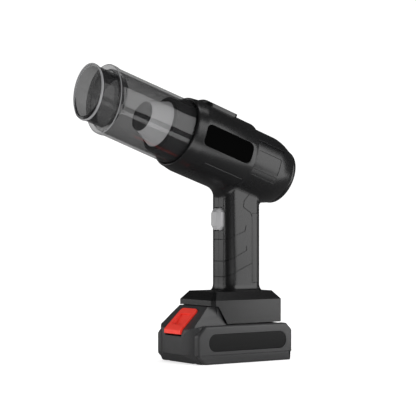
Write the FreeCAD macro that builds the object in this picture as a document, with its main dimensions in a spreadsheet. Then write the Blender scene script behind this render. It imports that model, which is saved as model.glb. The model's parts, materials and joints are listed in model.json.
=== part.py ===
"""Cordless car-drying blower: a pistol-grip fan with a clear nozzle tube and a slide-on battery.

Frame: +X is the way the air leaves, +Y the tool's left, +Z up. The origin is on the battery's
resting face, straight below the middle of the foot. Barrel pieces are drawn in the barrel's own
frame, in which X points down, Y left and Z forward along the air path, and then set at its tilt.
"""
import FreeCAD
import Part
import math
import os
from types import SimpleNamespace

import Sketcher
from FreeCAD import Placement, Rotation, Vector

SIZES = [
    ("barrel_tilt", 18.67, "degrees that the barrel rises towards its outlet"),
    ("axis_height", 209.04, "height of the barrel axis above the origin"),
    ("gap", 0.3, "clearance between pieces of different bodies"),
    ("fit", 0.15, "clearance between pieces that are fixed to each other"),
    ("wall", 2.4, "moulded wall"),
    ("housing_radius", 35.7, "barrel of the handle housing"),
    ("housing_front", 50.0, "front end of the housing barrel"),
    ("housing_rear", -60.0, "rear end of the housing barrel"),
    ("taper_start", -46.0, "where the rear of the barrel starts to close in"),
    ("rear_radius", 32.0, "barrel radius at its rear end"),
    ("sleeve_radius", 38.5, "front sleeve and cradle"),
    ("sleeve_rear", -6.0, "rear edge of the sleeve"),
    ("sleeve_lip", 71.0, "front lip of the sleeve"),
    ("lip_radius", 36.4, "outer radius of the sleeve's lip"),
    ("lip_bore", 34.6, "bore of the sleeve's lip, which the nozzle passes"),
    ("tube_rear", 50.6, "rear end of the nozzle tube"),
    ("tube_rear_radius", 34.0, "nozzle tube at its rear end"),
    ("tube_front_radius", 32.6, "nozzle tube at its front end"),
    ("tube_front", 160.0, "centre of the nozzle tube's front face"),
    ("tube_bead", 33.6, "bead round the front of the nozzle tube"),
    ("mouth_slant", 12.0, "degrees that the tube's front and the mouth are off square"),
    ("mouth", 179.0, "centre of the outlet mouth"),
    ("collar_radius", 26.6, "outlet collar"),
    ("collar_wall", 1.9, "wall of the outlet collar"),
    ("duct_bore", 27.6, "bore of the fan duct"),
    ("duct_wall", 1.6, "wall of the fan duct"),
    ("duct_rear", 20.0, "rear of the duct's straight bore"),
    ("duct_front", 91.0, "front edge of the duct"),
    ("hub_radius", 24.0, "motor can in the middle of the duct"),
    ("can_rear", 52.0, "rear of the motor can"),
    ("cone_front", 112.0, "front of the tail cone"),
    ("cap_radius", 15.0, "nose cap on the tail cone"),
    ("cap_front", 119.5, "tip of the nose cap"),
    ("shaft_radius", 2.5, "motor shaft"),
    ("bearing_radius", 6.5, "outside of the shaft bearings"),
    ("bearing_width", 5.0, "width of the shaft bearings"),
    ("lead_radius", 0.8, "insulated motor lead"),
    ("vanes", 9, "number of stator vanes"),
    ("blades", 7, "number of impeller blades"),
    ("impeller_rear", 24.0, "rear of the impeller hub"),
    ("impeller_front", 49.0, "front of the impeller hub"),
    ("dome_radius", 27.0, "edge of the intake dome"),
    ("dome_tip", -67.5, "tip of the intake dome"),
    ("dome_rise", 6.0, "rise of the intake dome"),
    ("panel_rear", 0.5, "rear end of the side panels"),
    ("panel_front", 59.5, "front end of the side panels"),
    ("panel_half", 10.9, "half the height of the side panels"),
    ("panel_depth", 1.1, "depth of the side panels' recess"),
    ("pad_rear", 14.0, "rear end of the top panel"),
    ("pad_front", 53.0, "front end of the top panel"),
    ("pad_half", 17.0, "half the width of the top panel"),
    ("pad_radius", 41.6, "outer radius of the top panel"),
    ("cradle_half", 28.6, "half the width of the cradle"),
    ("cradle_rear", -1.5, "rear end of the cradle"),
    ("handle_rear", -29.0, "rear face of the handle"),
    ("handle_front", 15.0, "front face of the handle"),
    ("handle_half", 17.0, "half the width of the handle"),
    ("handle_round", 10.0, "corner radius of the handle"),
    ("trigger_half", 9.6, "half the width of the trigger"),
    ("trigger_low", 132.5, "lower end of the trigger"),
    ("trigger_high", 155.5, "upper end of the trigger"),
    ("trigger_proud", 4.2, "how far the trigger stands out"),
    ("trigger_travel", 3.6, "travel of the trigger"),
    ("button_half", 7.0, "half the width of the rear button"),
    ("button_low", 124.5, "lower end of the rear button"),
    ("button_high", 146.0, "upper end of the rear button"),
    ("button_proud", 2.4, "how far the rear button stands out"),
    ("button_travel", 1.5, "travel of the rear button"),
    ("foot_half_length", 43.9, "half the length of the foot"),
    ("foot_half", 31.3, "half the width of the foot"),
    ("foot_top", 70.8, "top of the foot"),
    ("foot_shoulder", 62.4, "where the foot's top chamfer starts"),
    ("foot_chamfer", 7.3, "how far the foot's top chamfer goes in"),
    ("foot_brow", 56.8, "lower edge of the foot's front wall"),
    ("skirt_low", 39.0, "lower edge of the foot's side skirts"),
    ("skirt_front", 26.3, "front end of the skirts' lower edge"),
    ("rail_low", 41.5, "underside of the battery rails"),
    ("rail_high", 45.0, "top of the battery rails"),
    ("rail_half", 24.5, "distance of the rails from the middle"),
    ("battery_rear", -51.0, "rear end of the battery"),
    ("battery_front", 70.6, "front face of the battery"),
    ("battery_half", 37.5, "half the width of the battery"),
    ("battery_split", 9.3, "height of the split between its cases"),
    ("shoulder", 38.0, "top of the battery's main block"),
    ("neck_rear", -17.0, "rear end of the battery's neck"),
    ("slope_top_x", 46.0, "top of the battery's front slope"),
    ("slope_foot_z", 33.0, "foot of the battery's front slope"),
    ("latch_half", 14.3, "half the width of the release latch"),
    ("latch_travel", 3.2, "travel of the release latch"),
    ("label_rear", -43.0, "rear end of the battery's side inlays"),
    ("label_front", 53.0, "front end of the battery's side inlays"),
    ("label_low", 12.5, "lower edge of the battery's side inlays"),
    ("label_high", 30.1, "upper edge of the battery's side inlays"),
    ("cell_radius", 9.2, "battery cell"),
    ("cell_length", 65.0, "battery cell"),
    ("cell_pitch", 19.0, "distance between cells"),
    ("screw_radius", 1.4, "thread of the case screws"),
    ("screw_head", 2.6, "head of the case screws"),
]

doc = FreeCAD.newDocument("blower")
sheet = doc.addObject("Spreadsheet::Sheet", "sizes")
for row, (alias, number, note) in enumerate(SIZES, 1):
    sheet.set(f"A{row}", alias)
    sheet.set(f"B{row}", str(number))
    sheet.set(f"C{row}", note)
    sheet.setAlias(f"B{row}", alias)
doc.recompute()


class Dim:
    """A number together with the sheet expression that gives it."""

    def __init__(self, number, text=None):
        self.number = float(number)
        self.text = text or f"({self.number!r})"

    def join(self, sign, other, number):
        return Dim(number, f"({self.text} {sign} {other.text})")

    def __add__(self, other):
        return self.join("+", dim(other), self.number + dim(other).number)

    def __sub__(self, other):
        return self.join("-", dim(other), self.number - dim(other).number)

    def __mul__(self, other):
        return self.join("*", dim(other), self.number * dim(other).number)

    def __truediv__(self, other):
        return self.join("/", dim(other), self.number / dim(other).number)

    def __radd__(self, other):
        return dim(other) + self

    def __rsub__(self, other):
        return dim(other) - self

    def __rmul__(self, other):
        return dim(other) * self

    def __neg__(self):
        return 0 - self


def dim(thing):
    return thing if isinstance(thing, Dim) else Dim(thing)


s = SimpleNamespace(**{alias: Dim(sheet.get(alias), f"sizes.{alias}") for alias, _, _ in SIZES})
pieces = {}


# ---------------------------------------------------------------- helpers

def bind(thing, **amounts):
    for prop, amount in amounts.items():
        thing.setExpression(prop, dim(amount).text)


def place(thing, x=0, y=0, z=0, axis=Vector(0, 0, 1), angle=0):
    """Set a primitive or a finished shape at a point, turned about an axis."""
    thing.Placement = Placement(Vector(dim(x).number, dim(y).number, dim(z).number),
                                Rotation(axis, dim(angle).number))
    for letter, amount in zip("xyz", (x, y, z)):
        if dim(amount).number:
            thing.setExpression(f".Placement.Base.{letter}", dim(amount).text)
    return thing


def on_barrel(thing):
    """Set a piece that was drawn in the barrel's frame at the barrel's height and tilt."""
    thing.Placement = Placement(Vector(0, 0, s.axis_height.number),
                                Rotation(Vector(0, 1, 0), 90 - s.barrel_tilt.number))
    thing.setExpression(".Placement.Base.z", s.axis_height.text)
    thing.setExpression(".Placement.Rotation.Angle", (90 - s.barrel_tilt).text)
    return thing


def piece(label, thing):
    """Name a finished piece, which makes it one node."""
    thing.Label = label
    pieces[label] = thing
    return thing


def box(name, x, y, z):
    thing = doc.addObject("Part::Box", name)
    bind(thing, Length=x[1] - x[0], Width=y[1] - y[0], Height=z[1] - z[0])
    return place(thing, x[0], y[0], z[0])


def rod(name, radius, low, high, along="z", at=(0, 0)):
    """A cylinder from low to high along an axis; at gives its two other coordinates."""
    thing = doc.addObject("Part::Cylinder", name)
    bind(thing, Radius=radius, Height=high - low)
    if along == "z":
        return place(thing, at[0], at[1], low)
    if along == "y":
        return place(thing, at[0], low, at[1], Vector(1, 0, 0), -90)
    return place(thing, low, at[0], at[1], Vector(0, 1, 0), 90)


def cone(name, rear_radius, front_radius, low, high):
    thing = doc.addObject("Part::Cone", name)
    bind(thing, Radius1=rear_radius, Radius2=front_radius, Height=high - low)
    return place(thing, 0, 0, low)


def ball(name, radius, centre):
    thing = doc.addObject("Part::Sphere", name)
    bind(thing, Radius=radius)
    return place(thing, 0, 0, centre)


def fuse(name, *things):
    joined = doc.addObject("Part::MultiFuse", name)
    joined.Shapes = list(things)
    return joined


def cut(name, base, *tools):
    less = doc.addObject("Part::Cut", name)
    less.Base = base
    less.Tool = tools[0] if len(tools) == 1 else fuse(name + "_tools", *tools)
    return less


def common(name, *things):
    shared = doc.addObject("Part::MultiCommon", name)
    shared.Shapes = list(things)
    return shared


def ring(name, outer, inner, low, high):
    return cut(name, rod(name + "_outside", outer, low, high), rod(name + "_bore", inner, low - 1, high + 1))


def outline(body, plane, corners, offset=0):
    """A closed sketch of straight runs on one of the body's own planes, each corner bound to sizes."""
    sketch = body.newObject("Sketcher::SketchObject", body.Name + "_outline")
    support = next(part for part in body.Origin.OriginFeatures if part.Role == plane)
    sketch.AttachmentSupport = [(support, "")]
    sketch.MapMode = "FlatFace"
    sketch.setExpression("AttachmentOffset.Base.z", dim(offset).text)
    points = [(dim(across), dim(up)) for across, up in corners]
    count = len(points)
    for start, end in zip(points, points[1:] + points[:1]):
        sketch.addGeometry(Part.LineSegment(Vector(start[0].number, start[1].number, 0),
                                            Vector(end[0].number, end[1].number, 0)))
    for index in range(count):
        sketch.addConstraint(Sketcher.Constraint("Coincident", index, 2, (index + 1) % count, 1))
    for index, (across, up) in enumerate(points):
        for kind, amount in (("DistanceX", across), ("DistanceY", up)):
            rule = sketch.addConstraint(Sketcher.Constraint(kind, -1, 1, index, 1, amount.number))
            sketch.setExpression(f"Constraints[{rule}]", amount.text)
    return sketch


def turned(name, profile):
    """A body turned about the Z axis from a closed profile of (radius, height) corners."""
    body = doc.addObject("PartDesign::Body", name)
    sketch = outline(body, "XZ_Plane", profile)
    turn = body.newObject("PartDesign::Revolution", name + "_turn")
    turn.Profile = sketch
    turn.ReferenceAxis = (sketch, ["V_Axis"])
    turn.Angle = 360
    return body


def slab(name, plane, corners, low, high):
    """A body padded from low to high along its plane's normal axis."""
    body = doc.addObject("PartDesign::Body", name)
    start = -dim(high) if plane == "XZ_Plane" else dim(low)
    sketch = outline(body, plane, corners, start)
    pad = body.newObject("PartDesign::Pad", name + "_pad")
    pad.Profile = sketch
    bind(pad, Length=high - low)
    doc.recompute()
    return body


def dress(body, kind, amount, wanted):
    """Round or bevel the edges that the test picks; the amount stays bound to the sheet."""
    doc.recompute()
    edges = [f"Edge{number}" for number, edge in enumerate(body.Tip.Shape.Edges, 1) if wanted(edge)]
    if not edges:
        raise RuntimeError(f"{body.Name}: no edge to dress")
    feature = body.newObject("PartDesign::" + kind, f"{body.Name}_{kind.lower()}")
    feature.Base = (body.Tip if body.Tip != feature else feature.BaseFeature, edges)
    bind(feature, **{"Radius" if kind == "Fillet" else "Size": amount})
    body.Tip = feature
    doc.recompute()
    return body


def runs_along(direction):
    """A test for straight edges that are parallel to a direction."""
    def wanted(edge):
        if edge.Curve.TypeId != "Part::GeomLine":
            return False
        return abs(edge.tangentAt(edge.FirstParameter).dot(direction)) > 0.999
    return wanted


def rectangle(low_across, high_across, low_up, high_up):
    return [(low_across, low_up), (high_across, low_up), (high_across, high_up), (low_across, high_up)]


def spokes(name, count, radius, width, height, twist=0):
    """Flat plates set round the Z axis, each leaning by twist degrees about its own radius."""
    plates = []
    middle = (height[0] + height[1]) / 2
    for number in range(count):
        plate = doc.addObject("Part::Box", f"{name}_{number}")
        bind(plate, Length=radius[1] - radius[0], Width=width, Height=height[1] - height[0])
        about_axis = Placement(Vector(), Rotation(Vector(0, 0, 1), 360.0 * number / count))
        lean = Placement(Vector(0, 0, dim(middle).number), Rotation(Vector(1, 0, 0), twist))
        corner = Vector(dim(radius[0]).number, -dim(width).number / 2,
                        -dim(height[1] - height[0]).number / 2)
        plate.Placement = about_axis * lean * Placement(corner, Rotation())
        plates.append(plate)
    return fuse(name, *plates)


X_WAY, Y_WAY, Z_WAY = Vector(1, 0, 0), Vector(0, 1, 0), Vector(0, 0, 1)
FAR = 120.0

# ---------------------------------------------------------------- handle and barrel housing


def handle_section(name, inset, low, high):
    """The handle's rounded section between two heights."""
    half = s.handle_half - inset
    body = slab(name, "XY_Plane",
                rectangle(s.handle_rear + inset, s.handle_front - inset, -half, half), low, high)
    return dress(body, "Fillet", s.handle_round - inset, runs_along(Z_WAY))


def handle_form(name, inset, bottom):
    """The handle's closed form, run up into the barrel, with hollow corners where they meet."""
    rear, front = s.handle_rear + inset, s.handle_front - inset
    half = s.handle_half - s.handle_round + 2
    web = slab(name + "_web", "XZ_Plane",
               [(rear, 120), (front, 120), (front, 176.5 + inset), (34, 183 + inset), (34, 190),
                (-43, 168), (-43, 157.5 + inset), (rear, 162.5 + inset)], -half, half)

    def hollow_corner(at_x):
        return lambda edge: (runs_along(Y_WAY)(edge) and abs(edge.Vertexes[0].X - at_x) < 0.01
                             and edge.Vertexes[0].Z > 150)

    dress(web, "Fillet", 13, hollow_corner(front.number))
    dress(web, "Fillet", 8, hollow_corner(rear.number))
    return fuse(name, handle_section(name + "_column", inset, bottom, 182), web)


barrel_form = on_barrel(turned("barrel_form", [
    (0, s.housing_rear), (s.rear_radius, s.housing_rear), (s.housing_radius, s.taper_start),
    (s.housing_radius, s.housing_front), (0, s.housing_front)]))


def cradle_prism(name, grow):
    """The cradle's outline, seen from below, run through the lower barrel wall."""
    half, rear = s.cradle_half + grow, s.cradle_rear - grow
    return slab(name, "YZ_Plane",
                [(-half, rear), (half, rear), (half, 46.0 + grow), (17, 50.4 + grow), (0, 52.0 + grow),
                 (-17, 50.4 + grow), (-half, 46.0 + grow)], 15, 45)


cradle_form = on_barrel(common("cradle_form", cradle_prism("cradle_block", 0),
                               rod("cradle_round", s.sleeve_radius, s.cradle_rear - 5, 60)))
barrel_bore = on_barrel(turned("barrel_bore", [
    (0, s.housing_rear - 1), (s.rear_radius - s.wall, s.housing_rear - 1),
    (s.rear_radius - s.wall, s.housing_rear + 1), (s.housing_radius - s.wall, s.taper_start),
    (s.housing_radius - s.wall, s.housing_front + 0.2), (s.lip_bore, s.housing_front + 0.3),
    (s.lip_bore, 62), (0, 62)]))
grip_reach = box("grip_reach", (s.handle_rear - 5, s.handle_rear + 10),
                 (-s.handle_half - 5, s.handle_half + 5), (79, 152))
grip_core = handle_section("grip_core", 1.1, 74, 158)
grip_band = cut("grip_band", handle_section("grip_over", -2, 74, 158), grip_core)
bosses = [(-21.5, 92), (7.5, 92), (-21.5, 160), (7.5, 121)]
foot_screw_at = [(-21, 9.5), (-21, -9.5), (7, 9.5), (7, -9.5)]


def across(name, radius, low, high):
    """Rods across the handle, one at each screw boss."""
    return [rod(f"{name}_{number}", radius, low, high, "y", at) for number, at in enumerate(bosses)]


def upright(name, radius, low, high, spots):
    """Rods along Z, one at each spot."""
    return [rod(f"{name}_{number}", radius, low, high, at=spot) for number, spot in enumerate(spots)]


housing_form = fuse("housing_form", barrel_form, cradle_form, handle_form("handle_outside", 0, 70.9))
shell = cut("housing_shell", housing_form, barrel_bore, handle_form("handle_inside", s.wall + 0.4, 74.0),
            box("trigger_window", (5, 25), (-s.trigger_half - s.gap, s.trigger_half + s.gap),
                (s.trigger_low - s.gap, s.trigger_high + s.gap)),
            box("button_window", (-40, -22), (-s.button_half - s.gap, s.button_half + s.gap),
                (s.button_low - s.gap, s.button_high + s.gap)),
            rod("foot_wire_hole", 5, 60, 80, at=(-7, 0)),
            *upright("foot_screw_bore", s.screw_radius, 60, 80, foot_screw_at))
with_bosses = fuse("housing_with_bosses", shell,
                   *across("boss", s.screw_radius + 1.9, -s.handle_half + 2, s.handle_half - 2))
bored = cut("housing_bored", with_bosses, *across("boss_hole", s.screw_radius, -FAR, s.handle_half - 4.5),
            *across("boss_sink", s.screw_head + 0.2, -FAR, -s.handle_half + 2.2),
            common("grip_recess", grip_reach, grip_band))
piece("left_housing", common("left_half", bored, box("left_space", (-FAR, FAR), (0.05, FAR), (0, 300))))
piece("right_housing", common("right_half", bored, box("right_space", (-FAR, FAR), (-FAR, -0.05), (0, 300))))
grip_skin = cut("grip_skin", handle_section("grip_outside", 0, 74, 158), grip_core)
piece("rear_grip", cut("grip_cut", common("grip_whole", grip_skin, grip_reach),
                       box("grip_window", (-40, -20), (-s.button_half - s.gap, s.button_half + s.gap),
                           (s.button_low - s.gap, s.button_high + s.gap)),
                       *across("grip_sink", s.screw_head + 0.2, -FAR, -s.handle_half + 2.2)))
piece("housing_screws", fuse(
    "housing_screw_set",
    *across("screw_thread", s.screw_radius - 0.05, -s.handle_half + 1.4, s.handle_half - 5),
    *across("screw_top", s.screw_head, -s.handle_half + 0.4, -s.handle_half + 2.0)))

# ---------------------------------------------------------------- sleeve and its panels


def side_prism(name, side, inset):
    """The side panel's outline run through one side of the sleeve, with round corners."""
    half = s.panel_half - inset
    low, high = (20, 45) if side > 0 else (-45, -20)
    body = slab(name, "XZ_Plane", rectangle(-half, half, s.panel_rear + inset, s.panel_front - inset),
                low, high)
    return dress(body, "Fillet", 5.5 - inset, runs_along(Y_WAY))


def pad_prism(name, inset):
    """The top panel's outline run through the top of the sleeve."""
    half = s.pad_half - inset
    body = slab(name, "YZ_Plane", rectangle(-half, half, s.pad_rear + inset, s.pad_front - inset), -46, -20)
    return dress(body, "Fillet", 6.0 - inset, runs_along(X_WAY))


sleeve_form = turned("sleeve_form", [
    (s.housing_radius + s.fit, s.sleeve_rear), (s.sleeve_radius - 0.8, s.sleeve_rear),
    (s.sleeve_radius, s.sleeve_rear + 0.8), (s.sleeve_radius, 60), (s.lip_radius, s.sleeve_lip - 0.6),
    (s.lip_radius - 0.6, s.sleeve_lip), (s.lip_bore, s.sleeve_lip), (s.lip_bore, 63), (s.lip_bore + 1.3, 63),
    (s.lip_bore + 1.3, 60), (s.lip_bore, 60), (s.lip_bore, 52.6), (s.housing_radius + s.fit, 51.4)])
panel_floor = s.sleeve_radius - s.panel_depth
seat_band = ring("seat_band", s.sleeve_radius + 3, panel_floor, -20, 80)
panel_band = ring("panel_band", s.sleeve_radius - 0.1, panel_floor, -20, 80)
pad_floor = ring("pad_floor", s.sleeve_radius + 6, s.sleeve_radius - 0.6, 5, 62)
piece("front_sleeve", on_barrel(cut(
    "sleeve_cut", sleeve_form, cradle_prism("sleeve_window", s.fit),
    box("handle_gap", (15, 45), (-s.handle_half - 4, s.handle_half + 4), (s.sleeve_rear - 1, 0)),
    common("left_seat", side_prism("left_seat_block", 1, 0), seat_band),
    common("right_seat", side_prism("right_seat_block", -1, 0), seat_band),
    common("pad_seat", pad_prism("pad_seat_block", 0), pad_floor))))
for side, word in ((1, "left"), (-1, "right")):
    piece(f"{word}_side_panel", on_barrel(common(
        f"{word}_panel", side_prism(f"{word}_panel_block", side, s.fit), panel_band)))
piece("top_panel", on_barrel(common(
    "pad", pad_prism("pad_block", s.fit), ring("pad_shell", s.pad_radius, s.sleeve_radius - 0.6, 5, 62))))
piece("nozzle_seal", on_barrel(ring("seal_ring", s.lip_bore + 1.3, s.tube_rear_radius + 0.05, 60.2, 62.8)))

# ---------------------------------------------------------------- air intake

bezel_seat = s.rear_radius - s.wall - s.fit
piece("rear_bezel", on_barrel(turned("bezel", [
    (s.dome_radius + s.fit, s.housing_rear + 6), (bezel_seat, s.housing_rear + 6),
    (bezel_seat, s.housing_rear - 0.1), (s.rear_radius - 0.3, s.housing_rear - 0.1),
    (s.rear_radius - 1.2, s.housing_rear - 3.2), (s.dome_radius + 1.8, s.housing_rear - 5.0),
    (s.dome_radius + s.fit, s.housing_rear - 4.6)])))
dome_ball = (s.dome_radius * s.dome_radius + s.dome_rise * s.dome_rise) / (s.dome_rise * 2)
dome_shell = common("dome_shell", rod("dome_edge", s.dome_radius, s.dome_tip - 1, s.housing_rear + 3),
                    cut("dome_skin", ball("dome_outside", dome_ball, s.dome_tip + dome_ball),
                        ball("dome_inside", dome_ball - 1.6, s.dome_tip + dome_ball)))
dome_slots = [spokes(f"dome_slots_{number}", count, reach, 2.0, (s.dome_tip - 5, s.housing_rear + 8))
              for number, (count, reach) in enumerate([(20, (14.0, 23.5)), (10, (6.0, 12.0))])]
piece("intake_dome", on_barrel(cut("dome", dome_shell, *dome_slots)))

# ---------------------------------------------------------------- fan duct, motor and tail cone

duct_outside = s.duct_bore + s.duct_wall
housing_bore = s.housing_radius - s.wall
flange = housing_bore - s.fit
piece("fan_duct", on_barrel(cut("duct_cut", turned("duct", [
    (s.duct_bore, s.duct_rear), (flange - 1.4, s.duct_rear - 8), (flange, s.duct_rear - 8),
    (flange, s.duct_rear - 5), (duct_outside, s.duct_rear + 2), (duct_outside, s.housing_front - 4),
    (flange, s.housing_front - 4), (flange, s.housing_front - 1), (duct_outside, s.housing_front - 1),
    (duct_outside, s.duct_front - 0.6), (s.duct_bore, s.duct_front)]),
    box("lead_notch", (duct_outside + 0.1, 40), (-4.5, 4.5),
        (s.duct_rear - 10, s.housing_front + 2)),
    box("lead_entry", (20, 40), (-4.5, 4.5), (83, 86)))))
can_front = s.duct_front + 1
can = turned("motor_can", [
    (s.bearing_radius, s.can_rear), (s.hub_radius - 1, s.can_rear), (s.hub_radius, s.can_rear + 1),
    (s.hub_radius, can_front), (s.bearing_radius, can_front),
    (s.bearing_radius, can_front - s.bearing_width), (s.hub_radius - 1.6, can_front - s.bearing_width),
    (s.hub_radius - 1.6, s.can_rear + s.bearing_width), (s.bearing_radius, s.can_rear + s.bearing_width)])
vane_set = spokes("vane_set", int(s.vanes.number), (s.hub_radius - 0.4, s.duct_bore - 0.02), 1.4,
                  (62, 88))
piece("stator_vanes", on_barrel(cut("vanes_and_can", fuse("stator_form", can, vane_set),
                                    box("can_lead_hole", (s.hub_radius - 3, 40), (-4.5, 4.5), (83, 86)))))
core_outside = s.hub_radius - 1.7
core_form = ring("core_form", core_outside, 9.6, 62, 80)
core_slots = spokes("core_slots", 6, (11.5, 19.5), 6.0, (61, 81))
piece("stator_core", on_barrel(cut("core", core_form, core_slots)))
piece("motor_coils", on_barrel(spokes("coils", 6, (11.7, 19.3), 5.6, (59, 83))))
for word, rear in (("rear", s.can_rear), ("front", can_front - s.bearing_width)):
    piece(f"{word}_bearing", on_barrel(ring(f"{word}_bearing_ring", s.bearing_radius,
                                            s.shaft_radius + 0.03, rear, rear + s.bearing_width)))
piece("tail_cone", on_barrel(turned("cone", [
    (s.hub_radius - 1.7, can_front + 0.1), (s.hub_radius, can_front + 0.1), (s.cap_radius, s.cone_front),
    (4, s.cone_front), (4, s.cone_front - 1.6), (s.cap_radius - 1.4, s.cone_front - 1.6)])))
cap_ball = 25.0
piece("nose_cap", on_barrel(common("cap", rod("cap_edge", s.cap_radius, s.cone_front + 0.1, s.cap_front),
                                   ball("cap_round", cap_ball, s.cap_front - cap_ball))))


def lead(name, across_y):
    """One motor lead: out of the can, back along the duct's underside and down into the handle."""
    down, back, front = duct_outside + 1.0, 0.0, 84.5
    run = rod(name + "_run", s.lead_radius, back, front, at=(down, across_y))
    entry = rod(name + "_entry", s.lead_radius, s.hub_radius - 2.6, down, "x", at=(across_y, front))
    bends = [place(doc.addObject("Part::Sphere", f"{name}_bend_{station:.0f}"), down, across_y, station)
             for station in (back, front)]
    for bend in bends:
        bind(bend, Radius=s.lead_radius)
    along = on_barrel(fuse(name + "_along", run, entry, *bends))
    tilt = math.radians(s.barrel_tilt.number)
    start = Vector(down.number * math.sin(tilt), across_y,
                   s.axis_height.number - down.number * math.cos(tilt))
    end = Vector(-3, across_y, 157.5)
    drop = doc.addObject("Part::Feature", name + "_drop")
    drop.Shape = Part.makeCylinder(s.lead_radius.number, (end - start).Length, start, end - start)
    return fuse(name, along, drop)


piece("red_lead", lead("red_wire", -3.0))
piece("dark_leads", fuse("dark_wires", lead("black_wire", 0.0), lead("white_wire", 3.0)))

# ---------------------------------------------------------------- rotor

hub_form = turned("impeller_hub", [
    (s.shaft_radius, s.impeller_rear), (7.5, s.impeller_rear), (15, s.impeller_rear + 9),
    (s.hub_radius - 1.2, s.impeller_front), (s.shaft_radius, s.impeller_front)])
blade_space = ring("blade_space", s.duct_bore - 0.5, s.shaft_radius + 1, s.impeller_rear, s.impeller_front)
blade_set = common("blade_set", blade_space, spokes(
    "impeller_blade", int(s.blades.number), (5, 34), 1.5, (s.impeller_rear - 12, s.impeller_front + 12), 38))
piece("impeller", on_barrel(fuse("impeller_form", hub_form, blade_set)))
piece("motor_shaft", on_barrel(rod("shaft", s.shaft_radius, s.impeller_rear - 5, can_front)))
piece("rotor_magnet", on_barrel(ring("magnet", 9.2, s.shaft_radius, 62, 80)))
piece("impeller_nut", on_barrel(cut("nut", turned("nut_form", [
    (0, s.impeller_rear - 8), (3.5, s.impeller_rear - 6.5), (6.6, s.impeller_rear - 0.1),
    (0, s.impeller_rear - 0.1)]),
    rod("nut_bore", s.shaft_radius + 0.04, s.impeller_rear - 5.1, s.impeller_rear))))

# ---------------------------------------------------------------- nozzle

def in_mouth_frame(thing, centre, back=0):
    """Set a shape whose Z axis is the mouth's normal at a station of the barrel axis."""
    slant = math.radians(s.mouth_slant.number)
    middle = Vector(0, 0, dim(centre).number) - Vector(math.sin(slant), 0, math.cos(slant)) * back
    thing.Placement = Placement(middle, Rotation(Vector(0, 1, 0), s.mouth_slant.number))
    return thing


def beyond(name, station):
    """Everything ahead of a slanted plane."""
    block = doc.addObject("Part::Box", name)
    block.Length = block.Width = 200
    block.Height = 60
    slant = Rotation(Vector(0, 1, 0), s.mouth_slant.number)
    corner = Vector(0, 0, dim(station).number) + slant.multVec(Vector(-100, -100, 0))
    block.Placement = Placement(corner, slant)
    return block


run_out = s.tube_front + 12
tube_body = cut("tube_body",
                cone("tube_outside", s.tube_rear_radius, s.tube_front_radius, s.tube_rear, run_out),
                cone("tube_inside", s.tube_rear_radius - s.wall, s.tube_front_radius - s.wall,
                     s.tube_rear - 0.01, run_out + 0.01),
                beyond("tube_trim", s.tube_front - 1))
end_wall = in_mouth_frame(ring("end_wall", s.tube_bead, s.collar_radius + 1.3, 0, 3.0), s.tube_front, 3.0)
piece("nozzle_tube", on_barrel(fuse("tube_form", tube_body, end_wall)))
collar_bore = s.collar_radius - s.collar_wall
collar_ring = place(ring("collar_ring", s.collar_radius, collar_bore, s.tube_front - 16, s.mouth + 12),
                    angle=50)
collar_run = cut("collar_run", collar_ring, beyond("collar_trim", s.mouth - 1.2))
rim = in_mouth_frame(ring("rim", s.collar_radius + 1.6, collar_bore + 1.3, 0, 2.4), s.mouth, 2.4)
collar_flange = place(ring("collar_flange", s.collar_radius + 2.6, collar_bore + 0.9, s.tube_front - 13,
                           s.tube_front - 11), angle=80)
piece("outlet_collar", on_barrel(fuse("collar_form", collar_run, rim, collar_flange)))

# ---------------------------------------------------------------- trigger and rear button

trigger_front = s.handle_front + s.trigger_proud
trigger_body = slab("trigger_cap", "XZ_Plane", [
    (s.handle_front - 5.2, s.trigger_low), (s.handle_front + 0.5, s.trigger_low),
    (trigger_front, s.trigger_low + 4.5), (trigger_front, s.trigger_high - 4.5),
    (s.handle_front + 0.5, s.trigger_high), (s.handle_front - 5.2, s.trigger_high)],
    -s.trigger_half, s.trigger_half)
dress(trigger_body, "Chamfer", 3.4,
      lambda edge: edge.BoundBox.XMin > s.handle_front.number + 0.4 and edge.BoundBox.YLength < 0.01)
piece("trigger_button", fuse("trigger_form", trigger_body,
                             box("trigger_lip", (s.handle_front - 6.4, s.handle_front - 4.4),
                                 (-s.trigger_half - 1.4, s.trigger_half + 1.4),
                                 (s.trigger_low - 1.6, s.trigger_high + 1.6))))
piece("trigger_switch", box("switch_body", (-9, 4.2), (-6, 6), (134, 154)))


def spring(name, start, way, coil_radius, wire, length, turns):
    """A round-wire compression spring."""
    helix = Part.makeHelix(length / turns, length, coil_radius)
    section = Part.Wire(Part.makeCircle(wire, Vector(coil_radius, 0, 0), Vector(0, 1, 0)))
    coil = doc.addObject("Part::Feature", name)
    coil.Shape = Part.Wire(helix).makePipeShell([section], True, True)
    coil.Placement = Placement(start, Rotation(Vector(0, 0, 1), way))
    return coil


piece("trigger_spring", spring("trigger_coil", Vector(4.7, 0, 150), X_WAY, 2.2, 0.3, 3.6, 4))
button_rear = s.handle_rear - s.button_proud
button_body = slab("button_cap", "XZ_Plane",
                   rectangle(button_rear, s.handle_rear + 3, s.button_low, s.button_high),
                   -s.button_half, s.button_half)
dress(button_body, "Fillet", 1.8, lambda edge: edge.BoundBox.XMax < button_rear.number + 0.1)
piece("rear_button", fuse("button_form", button_body,
                          box("button_lip", (s.handle_rear + 2.9, s.handle_rear + 4.2),
                              (-s.button_half - 1.2, s.button_half + 1.2),
                              (s.button_low - 1.2, s.button_high + 1.2))))
piece("rear_switch", box("tact_switch", (-22.6, -19.6), (-3, 3), (132, 138)))

# ---------------------------------------------------------------- speed board

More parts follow.
